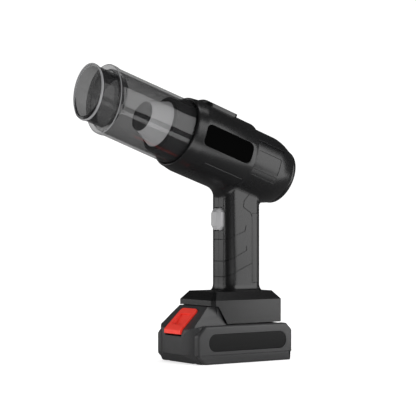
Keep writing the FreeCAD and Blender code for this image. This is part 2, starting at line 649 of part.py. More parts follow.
board = box("board_plate", (-16, 1), (-0.8, 0.8), (96, 130))
board_parts = [rod("capacitor", 4, 0.7, 9.5, "y", (-8, 122)),
               box("heat_sink", (-14, -1), (0.7, 7), (99, 113)),
               box("chip", (-12, -4), (-2.6, -0.7), (104, 112)),
               box("plug", (-14, -2), (-6, -0.7), (118, 127))]
piece("speed_board", fuse("board", board, *board_parts))

# ---------------------------------------------------------------- foot

foot_form = slab("foot_form", "XZ_Plane", [
    (-s.foot_half_length, s.skirt_low), (s.skirt_front, s.skirt_low), (36, 55.5), (37, s.foot_brow),
    (s.foot_half_length, s.foot_brow), (s.foot_half_length, s.foot_shoulder),
    (s.foot_half_length - s.foot_chamfer, s.foot_top), (s.foot_chamfer - s.foot_half_length, s.foot_top),
    (-s.foot_half_length, s.foot_shoulder)], -s.foot_half, s.foot_half)
dress(foot_form, "Chamfer", 3.7, lambda edge: runs_along(Z_WAY)(edge) and edge.BoundBox.ZMax < 63)
dress(foot_form, "Chamfer", s.foot_chamfer,
      lambda edge: runs_along(X_WAY)(edge) and edge.BoundBox.ZMin > s.foot_top.number - 0.1)
cavity_half = s.foot_half - 3.0

foot_hollow = cut("foot_hollow", foot_form,
                  box("neck_space", (-s.foot_half_length + 3, FAR), (-cavity_half, cavity_half), (30, 57.1)),
                  box("foot_loft", (-s.foot_half_length + 5, 34), (-21, 21), (50, 67.6)),
                  rod("foot_wires", 5, 60, 80, at=(-7, 0)),
                  *upright("foot_screw_hole", s.screw_radius, 55, 75, foot_screw_at))
rails = [box(f"{word}_rail", (-38, 25), reach, (s.rail_low, s.rail_high)) for word, reach in
         (("left", (s.rail_half, cavity_half)), ("right", (-cavity_half, -s.rail_half)))]
piece("foot_housing", fuse("foot", foot_hollow, *rails))
piece("foot_screws", fuse("foot_screw_set",
                          *upright("foot_thread", s.screw_radius - 0.05, 66.0, 76.5, foot_screw_at),
                          *upright("foot_head", s.screw_head, 65.6, 67.4, foot_screw_at)))
piece("terminal_block", box("block", (-40.6, -21), (-15, 15), (46.5, 57)))
blade_rows = (-10.5, -3.5, 3.5, 10.5)
piece("terminal_blades", fuse("blade_group", *[
    box(f"blade_{number}", (-20.9, -7.5), (row - 0.4, row + 0.4), (48, 54))
    for number, row in enumerate(blade_rows)]))

# ---------------------------------------------------------------- battery


def plan(name, inset, low, high):
    """The battery's plan outline with its faceted nose, from low to high."""
    rear, half = s.battery_rear + inset, s.battery_half - inset
    nose, front = s.battery_front - inset, s.battery_front - inset - 5
    return slab(name, "XY_Plane", [
        (rear, -half + 1.5), (rear + 1.5, -half), (front - 2.5, -half), (front, -half + 3.5),
        (nose, -19), (nose, 19), (front, half - 3.5), (front - 2.5, half), (rear + 1.5, half),
        (rear, half - 1.5)], low, high)


side_form = slab("battery_side_form", "XZ_Plane", [
    (s.battery_rear, 2), (s.battery_rear + 2, 0), (62, 0), (s.battery_front + 1, s.battery_split),
    (s.battery_front + 1, s.slope_foot_z - 3), (66, 30), (54, s.shoulder), (s.battery_rear + 7, s.shoulder),
    (s.battery_rear, 31)], -45, 45)
main_block = common("main_block", plan("battery_plan", 0, 0, s.shoulder), side_form)
slope_foot_x = s.battery_front - 1.6
hump = slab("hump", "XZ_Plane", [
    (s.skirt_front + 1.0, 30), (s.battery_front, 25), (s.battery_front, s.slope_foot_z - 2),
    (slope_foot_x, s.slope_foot_z + 1), (s.slope_top_x, s.foot_brow - 0.4), (37.4, s.foot_brow - 0.4),
    (36.8, 55.0), (s.skirt_front + 1.0, 38.4)], -29, 29)
nose_edges = slab("nose_edges", "YZ_Plane",
                  [(-29, 20), (29, 20), (29, 44), (24.5, 57), (-24.5, 57), (-29, 44)], 26, 75)
hump_front = common("hump_front", hump, nose_edges, plan("hump_plan", 0, 20, 60))
neck_half = cavity_half - s.gap
neck = fuse("neck",
            box("neck_flange", (s.neck_rear, 36.7), (-neck_half, neck_half), (s.rail_high + s.gap, 56.6)),
            box("neck_stem", (s.neck_rear, 36.7), (-s.rail_half + s.gap, s.rail_half - s.gap), (30, 50)))
case_form = fuse("case_form", main_block, hump_front, neck)
inlay_x, inlay_z = (s.label_rear, s.label_front), (s.label_low, s.label_high)


def inlay(name, inset, low, high):
    body = slab(name, "XZ_Plane", rectangle(inlay_x[0] + inset, inlay_x[1] - inset, inlay_z[0] + inset,
                                            inlay_z[1] - inset), low, high)
    return dress(body, "Fillet", 5.5 - inset, runs_along(Y_WAY))


inlay_floor = s.battery_half - 1.0
room = cut("cell_room", plan("room_plan", s.wall, 2.2, s.shoulder - s.wall),
           box("room_corner", (52, FAR), (-50, 50), (27, 60)),
           box("room_rear", (-FAR, -43), (-50, 50), (29, 60)))
latch_space = box("latch_space", (43.2, FAR), (-s.latch_half - s.gap, s.latch_half + s.gap), (26.5, 60))
latch_well = cut("latch_well", latch_space,
                 slab("well_floor", "XZ_Plane", [(40, 20), (69.4, 20), (69.4, 25.5), (58, 27), (43.1, 45.5),
                                                 (40, 45.5)], -30, 30))
hollow_case = cut("hollow_case", case_form, room,
                  box("neck_room", (s.neck_rear + 2.4, 41), (-21, 21), (20, 54.2)), latch_well,
                  *[box(f"blade_slot_{number}", (s.neck_rear - 1, s.neck_rear + 3),
                        (row - 1.2, row + 1.2), (47, 55))
                    for number, row in enumerate(blade_rows)],
                  inlay("left_recess", 0, inlay_floor, 40), inlay("right_recess", 0, -40, -inlay_floor))
battery_screw_at = [(-45.2, 28), (-45.2, -28), (59, 24), (59, -24)]
columns = common("columns", case_form, fuse("column_rods", *upright("column", 3.2, 1, 37, battery_screw_at)))
whole_case = cut("whole_case", fuse("case_with_columns", hollow_case, columns),
                 *upright("case_screw_hole", s.screw_radius, -1, 18, battery_screw_at),
                 *upright("case_screw_sink", s.screw_head + 0.2, -1, 2.6, battery_screw_at))
piece("battery_lower_case", common("lower_case", whole_case, box(
    "lower_space", (-FAR, FAR), (-60, 60), (-1, s.battery_split - 0.05))))
piece("battery_upper_case", common("upper_case", whole_case, box(
    "upper_space", (-FAR, FAR), (-60, 60), (s.battery_split + 0.05, 90))))
piece("battery_screws", fuse("battery_screw_set",
                             *upright("case_thread", s.screw_radius - 0.05, 2.0, 17, battery_screw_at),
                             *upright("case_head", s.screw_head, 0.8, 2.5, battery_screw_at)))
piece("left_inlay", inlay("left_plate", s.fit, inlay_floor + 0.05, s.battery_half - 0.3))
piece("right_inlay", inlay("right_plate", s.fit, 0.3 - s.battery_half, -inlay_floor - 0.05))
cell_x = [6.0 + s.cell_pitch * step for step in (-2, -1, 0, 1, 2)]
cell_z = s.cell_radius + 2.6
piece("battery_cells", fuse("cells", *[
    rod(f"cell_{number}", s.cell_radius, -s.cell_length / 2, s.cell_length / 2, "y", (spot, cell_z))
    for number, spot in enumerate(cell_x)]))
strip_seat = s.cell_length / 2 + 0.02
strip_rows = [("left", (strip_seat, strip_seat + 0.3), [(0, 1), (2, 3), (4, 4)]),
              ("right", (-strip_seat - 0.3, -strip_seat), [(0, 0), (1, 2), (3, 4)])]
strips = [box(f"{word}_strip_{number}", (cell_x[first] - 4, cell_x[last] + 4), reach,
              (cell_z - 4, cell_z + 4))
          for word, reach, runs in strip_rows for number, (first, last) in enumerate(runs)]
piece("cell_strips", fuse("strip_group", *strips))
piece("battery_board", fuse("guard_board", box("guard_plate", (-12, 38), (-20, 20), (24, 25.6)),
                            box("guard_chip", (6, 14), (-4, 4), (25.5, 27.4)),
                            box("guard_plug", (-8, -2), (-12, 12), (25.5, 29))))
piece("battery_terminals", fuse("clip_group", *[
    box(f"clip_{number}_{side}", (-13.5, -4), (row + side * 1.0 - 0.35, row + side * 1.0 + 0.35), (29.1, 54))
    for number, row in enumerate(blade_rows) for side in (-1, 1)]))

# ---------------------------------------------------------------- release latch

latch_body = slab("latch_body", "XZ_Plane", [
    (s.slope_top_x + 1.2, 50.5), (60, 37), (s.battery_front - 2, 33.5), (s.battery_front + 0.3, 29.5),
    (s.battery_front + 1.5, 29.5), (s.battery_front + 1.5, s.slope_foot_z + 0.6),
    (slope_foot_x + 0.9, s.slope_foot_z + 1.8), (s.slope_top_x + 2.0, 55.9)], -s.latch_half, s.latch_half)
finger_dip = slab("finger_dip", "XZ_Plane", [(53, 52), (52.2, 47.5), (63, 38.4), (66.5, 40)], -9, 9)
piece("release_latch", cut("latch", latch_body, finger_dip))
piece("latch_spring", spring("latch_coil", Vector(55, 0, 33.75), Z_WAY, 1.8, 0.3, 5.6, 4))

# ---------------------------------------------------------------- checks and export

doc.recompute()
faults = [f"{thing.Name}: {thing.State}" for thing in doc.Objects
          if {"Invalid", "Error"} & set(thing.State)]
for label, thing in pieces.items():
    if thing.Shape.isNull() or not thing.Shape.isValid() or not thing.Shape.Solids:
        faults.append(f"{label}: bad shape")
if faults:
    raise RuntimeError("; ".join(faults))
os.makedirs("parts", exist_ok=True)
for label, thing in pieces.items():
    thing.Shape.exportStep(f"parts/{label}.step")
    print(f"{label:22} solids {len(thing.Shape.Solids)}  volume {thing.Shape.Volume:10.1f}")
print(len(pieces), "pieces")
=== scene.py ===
"""Looks of the cordless car-drying blower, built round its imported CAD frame."""

import json
import math

import bmesh
import bpy
from mathutils import Matrix, Vector


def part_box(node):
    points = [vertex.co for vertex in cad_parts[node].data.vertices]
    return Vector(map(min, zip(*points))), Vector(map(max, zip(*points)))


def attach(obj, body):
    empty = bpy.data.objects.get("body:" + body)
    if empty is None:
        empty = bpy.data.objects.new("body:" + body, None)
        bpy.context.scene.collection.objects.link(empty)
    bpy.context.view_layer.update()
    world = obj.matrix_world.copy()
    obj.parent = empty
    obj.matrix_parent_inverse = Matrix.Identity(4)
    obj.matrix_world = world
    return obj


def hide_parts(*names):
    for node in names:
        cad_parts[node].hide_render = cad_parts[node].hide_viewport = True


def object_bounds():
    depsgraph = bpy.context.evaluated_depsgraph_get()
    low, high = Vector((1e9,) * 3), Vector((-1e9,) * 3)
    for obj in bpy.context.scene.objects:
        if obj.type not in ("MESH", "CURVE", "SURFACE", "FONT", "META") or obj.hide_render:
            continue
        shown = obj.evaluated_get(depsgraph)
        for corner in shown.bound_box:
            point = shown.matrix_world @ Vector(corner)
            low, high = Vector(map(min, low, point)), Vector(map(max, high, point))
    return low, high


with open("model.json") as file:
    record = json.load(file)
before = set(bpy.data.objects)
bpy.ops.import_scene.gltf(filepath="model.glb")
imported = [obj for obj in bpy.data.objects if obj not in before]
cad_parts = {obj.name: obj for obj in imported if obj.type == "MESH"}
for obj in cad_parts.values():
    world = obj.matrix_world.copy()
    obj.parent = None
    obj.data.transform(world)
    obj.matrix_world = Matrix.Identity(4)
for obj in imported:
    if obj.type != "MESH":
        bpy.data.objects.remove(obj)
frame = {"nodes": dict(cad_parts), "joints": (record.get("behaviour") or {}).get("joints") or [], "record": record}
cad_low, cad_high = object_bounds()
MM = 0.001


# ---------------------------------------------------------------- sizes from the frame, in millimetres

def span(node):
    """A node's box in millimetres, as two corners."""
    low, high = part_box(node)
    return low / MM, high / MM


spin = next(joint for joint in frame["joints"] if joint["name"] == "rotor_spin")
air_way = Vector(spin["axis"]).normalized()
TILT = math.atan2(air_way.z, air_way.x)
AXIS_HEIGHT = (spin["pos_m"][2] - spin["pos_m"][0] * math.tan(TILT)) / MM
TO_BARREL = Matrix.Translation((0, 0, AXIS_HEIGHT)) @ Matrix.Rotation(math.pi / 2 - TILT, 4, "Y")

SLEEVE_R, HOUSING_R, TUBE_R = 38.5, 35.7, 34.0
HOUSING_BORE, TUBE_SEAT, BEZEL_BORE = 33.2, 34.6, 27.9
SLEEVE_REAR, SLEEVE_LIP = -6.0, 71.0
TUBE_REAR, TUBE_FRONT, MOUTH = 50.6, 160.0, 179.0
COLLAR_R, COLLAR_BORE = 26.6, 24.7
SLANT = math.tan(math.radians(12.0))
PANEL = (0.5, 59.5, 10.9)
PAD = (14.0, 53.0, 17.0)
HANDLE_REAR, HANDLE_FRONT, HANDLE_HALF, HANDLE_ROUND = -29.0, 15.0, 17.0, 10.0
HANDLE_WALL = 2.8
GRIP_LOW, GRIP_HIGH, GRIP_DEPTH = 79.0, 150.0, 1.3
GRIP_NOTCHES = (147.3, 112.6, 93.1)
pack_high = span("battery_upper_case")[1]
PACK_HALF, PACK_FRONT = pack_high.y, pack_high.x
PACK_SPLIT = 9.3
SCREW_HEAD, SCREW_SHANK = 2.6, 1.35
HOUSING_SCREWS = [(-21.5, 92), (7.5, 92), (-21.5, 160), (7.5, 121)]
FOOT_SCREWS = [(-21, 9.5), (-21, -9.5), (7, 9.5), (7, -9.5)]
PACK_SCREWS = [(-45.2, 28), (-45.2, -28), (59, 24), (59, -24)]


# ---------------------------------------------------------------- mesh helpers

def finish_mesh(name, mesh, body, material, nodes=(), bevel=0.0, segments=2, sharp=32):
    """A shown piece made of the mesh. It rides the body and stands for the CAD nodes that are named."""
    piece = bpy.data.objects.new(name, mesh)
    bpy.context.scene.collection.objects.link(piece)
    mesh.materials.clear()
    mesh.materials.append(material)
    for face in mesh.polygons:
        face.use_smooth = True
    mesh.set_sharp_from_angle(angle=math.radians(sharp))
    if bevel:
        edge = piece.modifiers.new("edge_round", "BEVEL")
        edge.width = bevel * MM
        edge.segments = segments
        edge.limit_method = "ANGLE"
        edge.angle_limit = math.radians(sharp)
        edge.harden_normals = True
        edge.use_clamp_overlap = True
    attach(piece, body)
    if nodes:
        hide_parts(*nodes)
    return piece


def mesh_of(name, points, faces, place=None):
    """A mesh from millimetre points, set in the barrel's frame where place asks for it."""
    mesh = bpy.data.meshes.new(name)
    mesh.from_pydata([tuple(Vector(point)) for point in points], [], faces)
    if place is not None:
        mesh.transform(place)
    mesh.transform(Matrix.Scale(MM, 4))
    tidy = bmesh.new()
    tidy.from_mesh(mesh)
    bmesh.ops.remove_doubles(tidy, verts=tidy.verts, dist=1e-7)
    bmesh.ops.recalc_face_normals(tidy, faces=tidy.faces)
    tidy.to_mesh(mesh)
    tidy.free()
    return mesh


def lathe(name, profile, steps=144, place=TO_BARREL, solid=False):
    """A closed ring turned about the barrel axis, or a solid with flat ends. Profile corners are (radius,
    station, lean), where lean is how much of the mouth's slant that corner takes."""
    points, faces = [], []
    count = len(profile)
    for step in range(steps):
        turn = 2 * math.pi * step / steps
        for corner in profile:
            radius, station = corner[0], corner[1]
            lean = corner[2] if len(corner) > 2 else 0.0
            down = radius * math.cos(turn)
            points.append((down, radius * math.sin(turn), station - lean * down * SLANT))
    for step in range(steps):
        here, after = step * count, (step + 1) % steps * count
        for index in range(count - 1 if solid else count):
            beside = (index + 1) % count
            faces.append((here + index, here + beside, after + beside, after + index))
    if solid:
        faces.append(tuple(step * count for step in range(steps)))
        faces.append(tuple(step * count + count - 1 for step in range(steps)))
    return mesh_of(name, points, faces, place)


def prism_faces(count):
    """Faces of a closed block whose points are two matching outlines, one after the other."""
    faces = [tuple(range(count)), tuple(range(count, 2 * count))]
    for index in range(count):
        beside = (index + 1) % count
        faces.append((index, beside, count + beside, count + index))
    return faces


def ring_points(radius, across, up, steps=32):
    """A circle's points round a centre."""
    return [(across + radius * math.cos(2 * math.pi * step / steps),
             up + radius * math.sin(2 * math.pi * step / steps)) for step in range(steps)]


def in_space(plane, across, up, depth):
    """A point drawn on a plane, set at a distance along the plane's normal."""
    return {"XZ": (across, depth, up), "XY": (across, up, depth), "YZ": (depth, across, up)}[plane]


def prism(name, outline, plane, low, high, place=None):
    """A closed block with a flat outline, run between two distances along the plane's normal."""
    points = [in_space(plane, *corner, depth) for depth in (low, high) for corner in outline]
    return mesh_of(name, points, prism_faces(len(outline)), place)


def rounded(corners, radius, steps=6):
    """The outline's corners rounded to a radius."""
    rounded_points = []
    count = len(corners)
    for index in range(count):
        before, here, after = (Vector(corners[(index + shift) % count]) for shift in (-1, 0, 1))
        size = radius[index] if isinstance(radius, (list, tuple)) else radius
        if size <= 0:
            rounded_points.append(tuple(here))
            continue
        back, onward = (before - here).normalized(), (after - here).normalized()
        half = back.angle(onward) / 2
        reach = min(size / math.tan(half), (before - here).length * 0.49, (after - here).length * 0.49)
        size = reach * math.tan(half)
        centre = here + (back + onward).normalized() * (size / math.sin(half))
        first, last = here + back * reach - centre, here + onward * reach - centre
        sweep = first.angle_signed(last)
        for step in range(steps + 1):
            angle = -sweep * step / steps
            rounded_points.append((centre.x + first.x * math.cos(angle) - first.y * math.sin(angle),
                                   centre.y + first.x * math.sin(angle) + first.y * math.cos(angle)))
    return rounded_points


def rectangle(low_across, high_across, low_up, high_up):
    """A rectangle's four corners."""
    return [(low_across, low_up), (high_across, low_up), (high_across, high_up), (low_across, high_up)]


def octagon(half, low, high, cut_across, cut_up):
    """A rectangle, centred across, with its corners cut."""
    return [(-half, low + cut_up), (-half + cut_across, low), (half - cut_across, low),
            (half, low + cut_up), (half, high - cut_up), (half - cut_across, high),
            (-half + cut_across, high), (-half, high - cut_up)]


def mirrored(half):
    """An outline from its right half, listed upward, and that half's mirror image."""
    return [*half, *[(-across, up) for across, up in reversed(half) if across]]


def combine(mesh, operation, *tools):
    """The mesh cut by, joined to or kept within closed tool meshes."""
    base = bpy.data.objects.new("base", mesh)
    bpy.context.scene.collection.objects.link(base)
    for tool in tools:
        other = bpy.data.objects.new("tool", tool)
        bpy.context.scene.collection.objects.link(other)
        step = base.modifiers.new("step", "BOOLEAN")
        step.operation = operation
        step.object = other
        step.solver = "MANIFOLD"
        bpy.context.view_layer.update()
        worked = bpy.data.meshes.new_from_object(base.evaluated_get(bpy.context.evaluated_depsgraph_get()))
        base.modifiers.clear()
        base.data = worked
        bpy.data.objects.remove(other)
    result = base.data
    bpy.data.objects.remove(base)
    return result


def joined(name, *meshes):
    """Several meshes as one."""
    whole = bmesh.new()
    for mesh in meshes:
        whole.from_mesh(mesh)
    result = bpy.data.meshes.new(name)
    whole.to_mesh(result)
    whole.free()
    return result


def inset(outline, amount):
    """A convex outline drawn in by an amount."""
    corners = [Vector(corner) for corner in outline]
    count = len(corners)
    area = sum(corners[i].x * corners[(i + 1) % count].y - corners[(i + 1) % count].x * corners[i].y
               for i in range(count))
    side = 1 if area > 0 else -1
    moved = []
    for index, here in enumerate(corners):
        before = (here - corners[index - 1]).normalized()
        after = (corners[(index + 1) % count] - here).normalized()
        inward = Vector((-before.y - after.y, before.x + after.x)).normalized() * side
        lean = max(inward.dot(Vector((-before.y, before.x)) * side), 0.4)
        moved.append(tuple(here + inward * (amount / lean)))
    return moved


def stacked(name, rings, plane, place=None):
    """A closed block through matching outlines, each at its own distance along the plane's normal."""
    points, faces = [], []
    count = len(rings[0][0])
    for outline, depth in rings:
        points += [in_space(plane, across, up, depth) for across, up in outline]
    faces.append(tuple(range(count)))
    faces.append(tuple(range(len(points) - count, len(points))))
    for level in range(len(rings) - 1):
        for index in range(count):
            beside = (index + 1) % count
            low, high = level * count, (level + 1) * count
            faces.append((low + index, low + beside, high + beside, high + index))
    return mesh_of(name, points, faces, place)


def plate(name, outline, plane, inner, outer, edge, place=None, steps=4):
    """A block whose outer face has a rounded edge."""
    way = 1 if outer > inner else -1
    rings = [(outline, inner)]
    for step in range(steps + 1):
        angle = math.pi / 2 * step / steps
        drawn_in = edge * (1 - math.cos(angle))
        rings.append((inset(outline, drawn_in), outer - way * edge * (1 - math.sin(angle))))
    return stacked(name, rings, plane, place)


def box_mesh(name, low, high, place=None):
    """A plain block between two corners, used to cut and join other shapes."""
    return prism(name, rectangle(low[0], high[0], low[1], high[1]), "XY", low[2], high[2], place)


def band_block(side, low_down, high_down, low, high, radius, floor, top=44.0):
    """A rounded rectangle on one side of the barrel, between two distances from the axis."""
    near, far = (18, 48) if side > 0 else (-48, -18)
    outline = rounded(rectangle(low_down, high_down, low, high), radius)
    block = prism("block", outline, "XZ", near, far, TO_BARREL)
    band = lathe("band", [(top, low - 5), (top, high + 5), (floor, high + 5), (floor, low - 5)])
    return combine(block, "INTERSECT", band)


def barrel_radius(station):
    """The lower barrel's radius along its axis, eased over the cradle's step."""
    step = min(max((station + 7.0) / 10.0, 0.0), 1.0)
    radius = HOUSING_R + (SLEEVE_R - HOUSING_R) * step * step * (3 - 2 * step)
    if station < -38.0:
        radius -= 6.2 * ((-38.0 - station) / 22.0) ** 1.6
    return radius


def underside(x, y):
    """Height of the barrel's lower surface above a point of the handle's plan."""
    radius = 37.0
    z = 170.0
    for _ in range(5):
        down = math.sqrt(max(radius * radius - y * y, 4.0))
        z = AXIS_HEIGHT + (x * math.sin(TILT) - down) / math.cos(TILT)
        radius = barrel_radius(x * math.cos(TILT) + (z - AXIS_HEIGHT) * math.sin(TILT))
    return z


def handle_plan(draw_in):
    """Points round the handle's rounded section, each with its outward direction."""
    low, high, half = HANDLE_REAR + draw_in, HANDLE_FRONT - draw_in, HANDLE_HALF - draw_in
    turn = HANDLE_ROUND - draw_in
    places = []
    for start, centre in ((0, (high - turn, half - turn)), (90, (low + turn, half - turn)),
                          (180, (low + turn, turn - half)), (270, (high - turn, turn - half))):
        for step in range(15):
            angle = math.radians(start + 90 * step / 14)
            way = Vector((math.cos(angle), math.sin(angle)))
            places.append((Vector(centre) + way * turn, way))
    filled = []
    for index, (here, way) in enumerate(places):
        filled.append((here, way))
        ahead = places[(index + 1) % len(places)][0]
        length = (ahead - here).length
        if length > 4:
            parts = int(length / 2.4)
            filled += [(here.lerp(ahead, part / parts), way) for part in range(1, parts)]
    return filled


def fillet_column(here, way):
    """One upright run of the handle's skin, with its flare onto the foot and its fillet under the barrel."""
    size = 8.3 + 4.7 * max(way.x, 0.0) ** 1.5
    reach = [(step * 0.5, underside(*(here + way * step * 0.5))) for step in range(60)]
    low, high = 120.0, 190.0
    for _ in range(40):
        centre = (low + high) / 2
        if min(math.hypot(out - size, z - centre) for out, z in reach) > size:
            low = centre
        else:
            high = centre
    touch = min(reach, key=lambda spot: math.hypot(spot[0] - size, spot[1] - low))
    last = math.atan2(touch[1] - low, size - touch[0])
    run = [(9 - math.sqrt(81 - (77.4 - z) ** 2), z) for z in (70.9, 71.6, 72.6, 74.0, 75.6)]
    run += [(0.0, 77.4), (0.0, low - 0.01)]
    for step in range(1, 11):
        angle = last * step / 10
        run.append((size - size * math.cos(angle), low + size * math.sin(angle)))
    out, z = run[-1]
    run += [(out + 0.4, z + 2.5), (max(out - 6, -2), 192)]
    return [(*(here + way * out), z) for out, z in run]


def handle_outside():
    """The handle's closed outer form, from the foot up into the barrel."""
    columns = [fillet_column(here, way) for here, way in handle_plan(0)]
    rows, count = len(columns[0]), len(columns)
    points = [spot for column in columns for spot in column]
    faces = [tuple(index * rows for index in range(count)),
             tuple(index * rows + rows - 1 for index in range(count))]
    for index in range(count):
        beside = (index + 1) % count
        for row in range(rows - 1):
            here, there = index * rows + row, beside * rows + row
            faces.append((here, there, there + 1, here + 1))
    return mesh_of("handle_outside", points, faces)


def handle_prism(draw_in, low, high):
    """A straight upright block with the handle's section, drawn in by an amount."""
    return prism("handle_prism", [tuple(here) for here, _ in handle_plan(draw_in)], "XY", low, high)


def groove_line(path, width, depth):
    """A narrow groove that follows a line drawn on the handle's side, on both sides and round the front."""
    band = combine(handle_prism(-3, 72, 182), "DIFFERENCE", handle_prism(depth, 70, 184))
    cutters = []
    for start, end in zip(path, path[1:]):
        run = (Vector(end) - Vector(start)).normalized()
        side = Vector((-run.y, run.x)) * width / 2
        first, last = Vector(start) - run * width / 2, Vector(end) + run * width / 2
        outline = [tuple(first + side), tuple(last + side), tuple(last - side), tuple(first - side)]
        cutters.append(combine(prism("blade", outline, "XZ", -30, 30), "INTERSECT", band.copy()))
    return cutters


# ---------------------------------------------------------------- materials

def node_group(name, inputs, outputs):
    """An empty node group with its sockets, and its input and output nodes."""
    group = bpy.data.node_groups.new(name, "ShaderNodeTree")
    for label, kind, value in inputs:
        socket = group.interface.new_socket(label, in_out="INPUT", socket_type=kind)
        socket.default_value = value
    for label, kind in outputs:
        group.interface.new_socket(label, in_out="OUTPUT", socket_type=kind)
    return group, group.nodes.new("NodeGroupInput"), group.nodes.new("NodeGroupOutput")


def moulded_skin():
    """Fine moulded texture, slow tone drift and faint handling marks."""
    group, given, made = node_group("moulded_skin", [
        ("Colour", "NodeSocketColor", (0.03, 0.03, 0.03, 1)), ("Tone", "NodeSocketFloat", 0.15),
        ("Roughness", "NodeSocketFloat", 0.4), ("Roughness Drift", "NodeSocketFloat", 0.08),
        ("Grain Scale", "NodeSocketFloat", 900.0)],
        [("Colour", "NodeSocketColor"), ("Roughness", "NodeSocketFloat"), ("Height", "NodeSocketFloat")])
    nodes, links = group.nodes, group.links
    place = nodes.new("ShaderNodeTexCoord")
    drift = nodes.new("ShaderNodeTexNoise")
    drift.inputs["Scale"].default_value = 22.0
    drift.inputs["Detail"].default_value = 4.0
    links.new(place.outputs["Object"], drift.inputs["Vector"])
    grain = nodes.new("ShaderNodeTexNoise")
    grain.inputs["Detail"].default_value = 2.0
    links.new(place.outputs["Object"], grain.inputs["Vector"])
    links.new(given.outputs["Grain Scale"], grain.inputs["Scale"])
    shift = nodes.new("ShaderNodeMath")
    shift.operation = "SUBTRACT"
    shift.inputs[1].default_value = 0.5
    links.new(drift.outputs["Fac"], shift.inputs[0])
    tone = nodes.new("ShaderNodeMath")
    tone.operation = "MULTIPLY_ADD"
    tone.inputs[2].default_value = 1.0
    links.new(shift.outputs[0], tone.inputs[0])
    links.new(given.outputs["Tone"], tone.inputs[1])
    tint = nodes.new("ShaderNodeVectorMath")
    tint.operation = "SCALE"
    links.new(given.outputs["Colour"], tint.inputs[0])
    links.new(tone.outputs[0], tint.inputs["Scale"])
    rough = nodes.new("ShaderNodeMath")
    rough.operation = "MULTIPLY_ADD"
    links.new(shift.outputs[0], rough.inputs[0])
    links.new(given.outputs["Roughness Drift"], rough.inputs[1])
    links.new(given.outputs["Roughness"], rough.inputs[2])
    links.new(tint.outputs[0], made.inputs["Colour"])
    links.new(rough.outputs[0], made.inputs["Roughness"])
    links.new(grain.outputs["Fac"], made.inputs["Height"])
    return group


SKIN = moulded_skin()


def surface(name, colour, roughness, tone=0.2, drift=0.06, grain=900.0, depth=0.02, soften=0.0, **sockets):
    """A Principled material whose colour, roughness and fine relief come from the moulded skin."""
    material = bpy.data.materials.new(name)
    material.use_nodes = True
    nodes, links = material.node_tree.nodes, material.node_tree.links
    shader = nodes["Principled BSDF"]
    skin = nodes.new("ShaderNodeGroup")
    skin.node_tree = SKIN
    skin.inputs["Colour"].default_value = (*colour, 1)
    skin.inputs["Tone"].default_value = tone
    skin.inputs["Roughness"].default_value = roughness
    skin.inputs["Roughness Drift"].default_value = drift
    skin.inputs["Grain Scale"].default_value = grain
    links.new(skin.outputs["Colour"], shader.inputs["Base Color"])
    links.new(skin.outputs["Roughness"], shader.inputs["Roughness"])
    bump = nodes.new("ShaderNodeBump")
    bump.inputs["Strength"].default_value = 1.0
    bump.inputs["Distance"].default_value = depth * MM
    links.new(skin.outputs["Height"], bump.inputs["Height"])
    if soften:
        rounding = nodes.new("ShaderNodeBevel")
        rounding.inputs["Radius"].default_value = soften * MM
        links.new(rounding.outputs["Normal"], bump.inputs["Normal"])
    links.new(bump.outputs["Normal"], shader.inputs["Normal"])
    for label, value in sockets.items():
        shader.inputs[label.replace("_", " ")].default_value = value
    return material


satin_black = surface("satin_black", (0.006, 0.006, 0.0063), 0.27, soften=0.45)
gloss_black = surface("gloss_black", (0.006, 0.006, 0.0063), 0.22, depth=0.008)
inlay_gloss = surface("inlay_gloss", (0.0015, 0.0015, 0.0015), 0.4, depth=0.004, Specular_IOR_Level=0.0)
rubber = surface("rubber", (0.009, 0.009, 0.0092), 0.33, grain=1400.0, depth=0.02, soften=0.35)
duct_black = surface("duct_black", (0.01, 0.01, 0.011), 0.45)
dome_grey = surface("dome_grey", (0.36, 0.4, 0.5), 0.35)
button_grey = surface("button_grey", (0.33, 0.33, 0.335), 0.35)
button_dark = surface("button_dark", (0.16, 0.16, 0.165), 0.42)
pack_black = surface("pack_black", (0.035, 0.035, 0.036), 0.42, grain=1300.0, depth=0.03)
inlay_dark = surface("inlay_dark", (0.01, 0.01, 0.0102), 0.6, grain=1800.0, depth=0.02,
                     Specular_IOR_Level=0.2)
latch_red = surface("latch_red", (0.9, 0.04, 0.022), 0.4, tone=0.1)
cone_silver = surface("cone_silver", (0.75, 0.75, 0.76), 0.4)
steel = surface("steel", (0.5, 0.5, 0.52), 0.3, Metallic=1.0)
dark_steel = surface("dark_steel", (0.12, 0.12, 0.125), 0.35, Metallic=1.0)
copper = surface("copper", (0.7, 0.3, 0.14), 0.35, Metallic=1.0)
brass = surface("brass", (0.75, 0.58, 0.3), 0.3, Metallic=1.0)
nickel = surface("nickel", (0.6, 0.58, 0.54), 0.3, Metallic=1.0)
impeller_alu = surface("impeller_alu", (0.6, 0.61, 0.63), 0.32, Metallic=1.0)
red_wire = surface("red_wire", (0.14, 0.004, 0.005), 0.4)
black_wire = surface("black_wire", (0.02, 0.02, 0.02), 0.4)
board_green = surface("board_green", (0.02, 0.13, 0.05), 0.35)
cell_wrap = surface("cell_wrap", (0.04, 0.2, 0.38), 0.3)


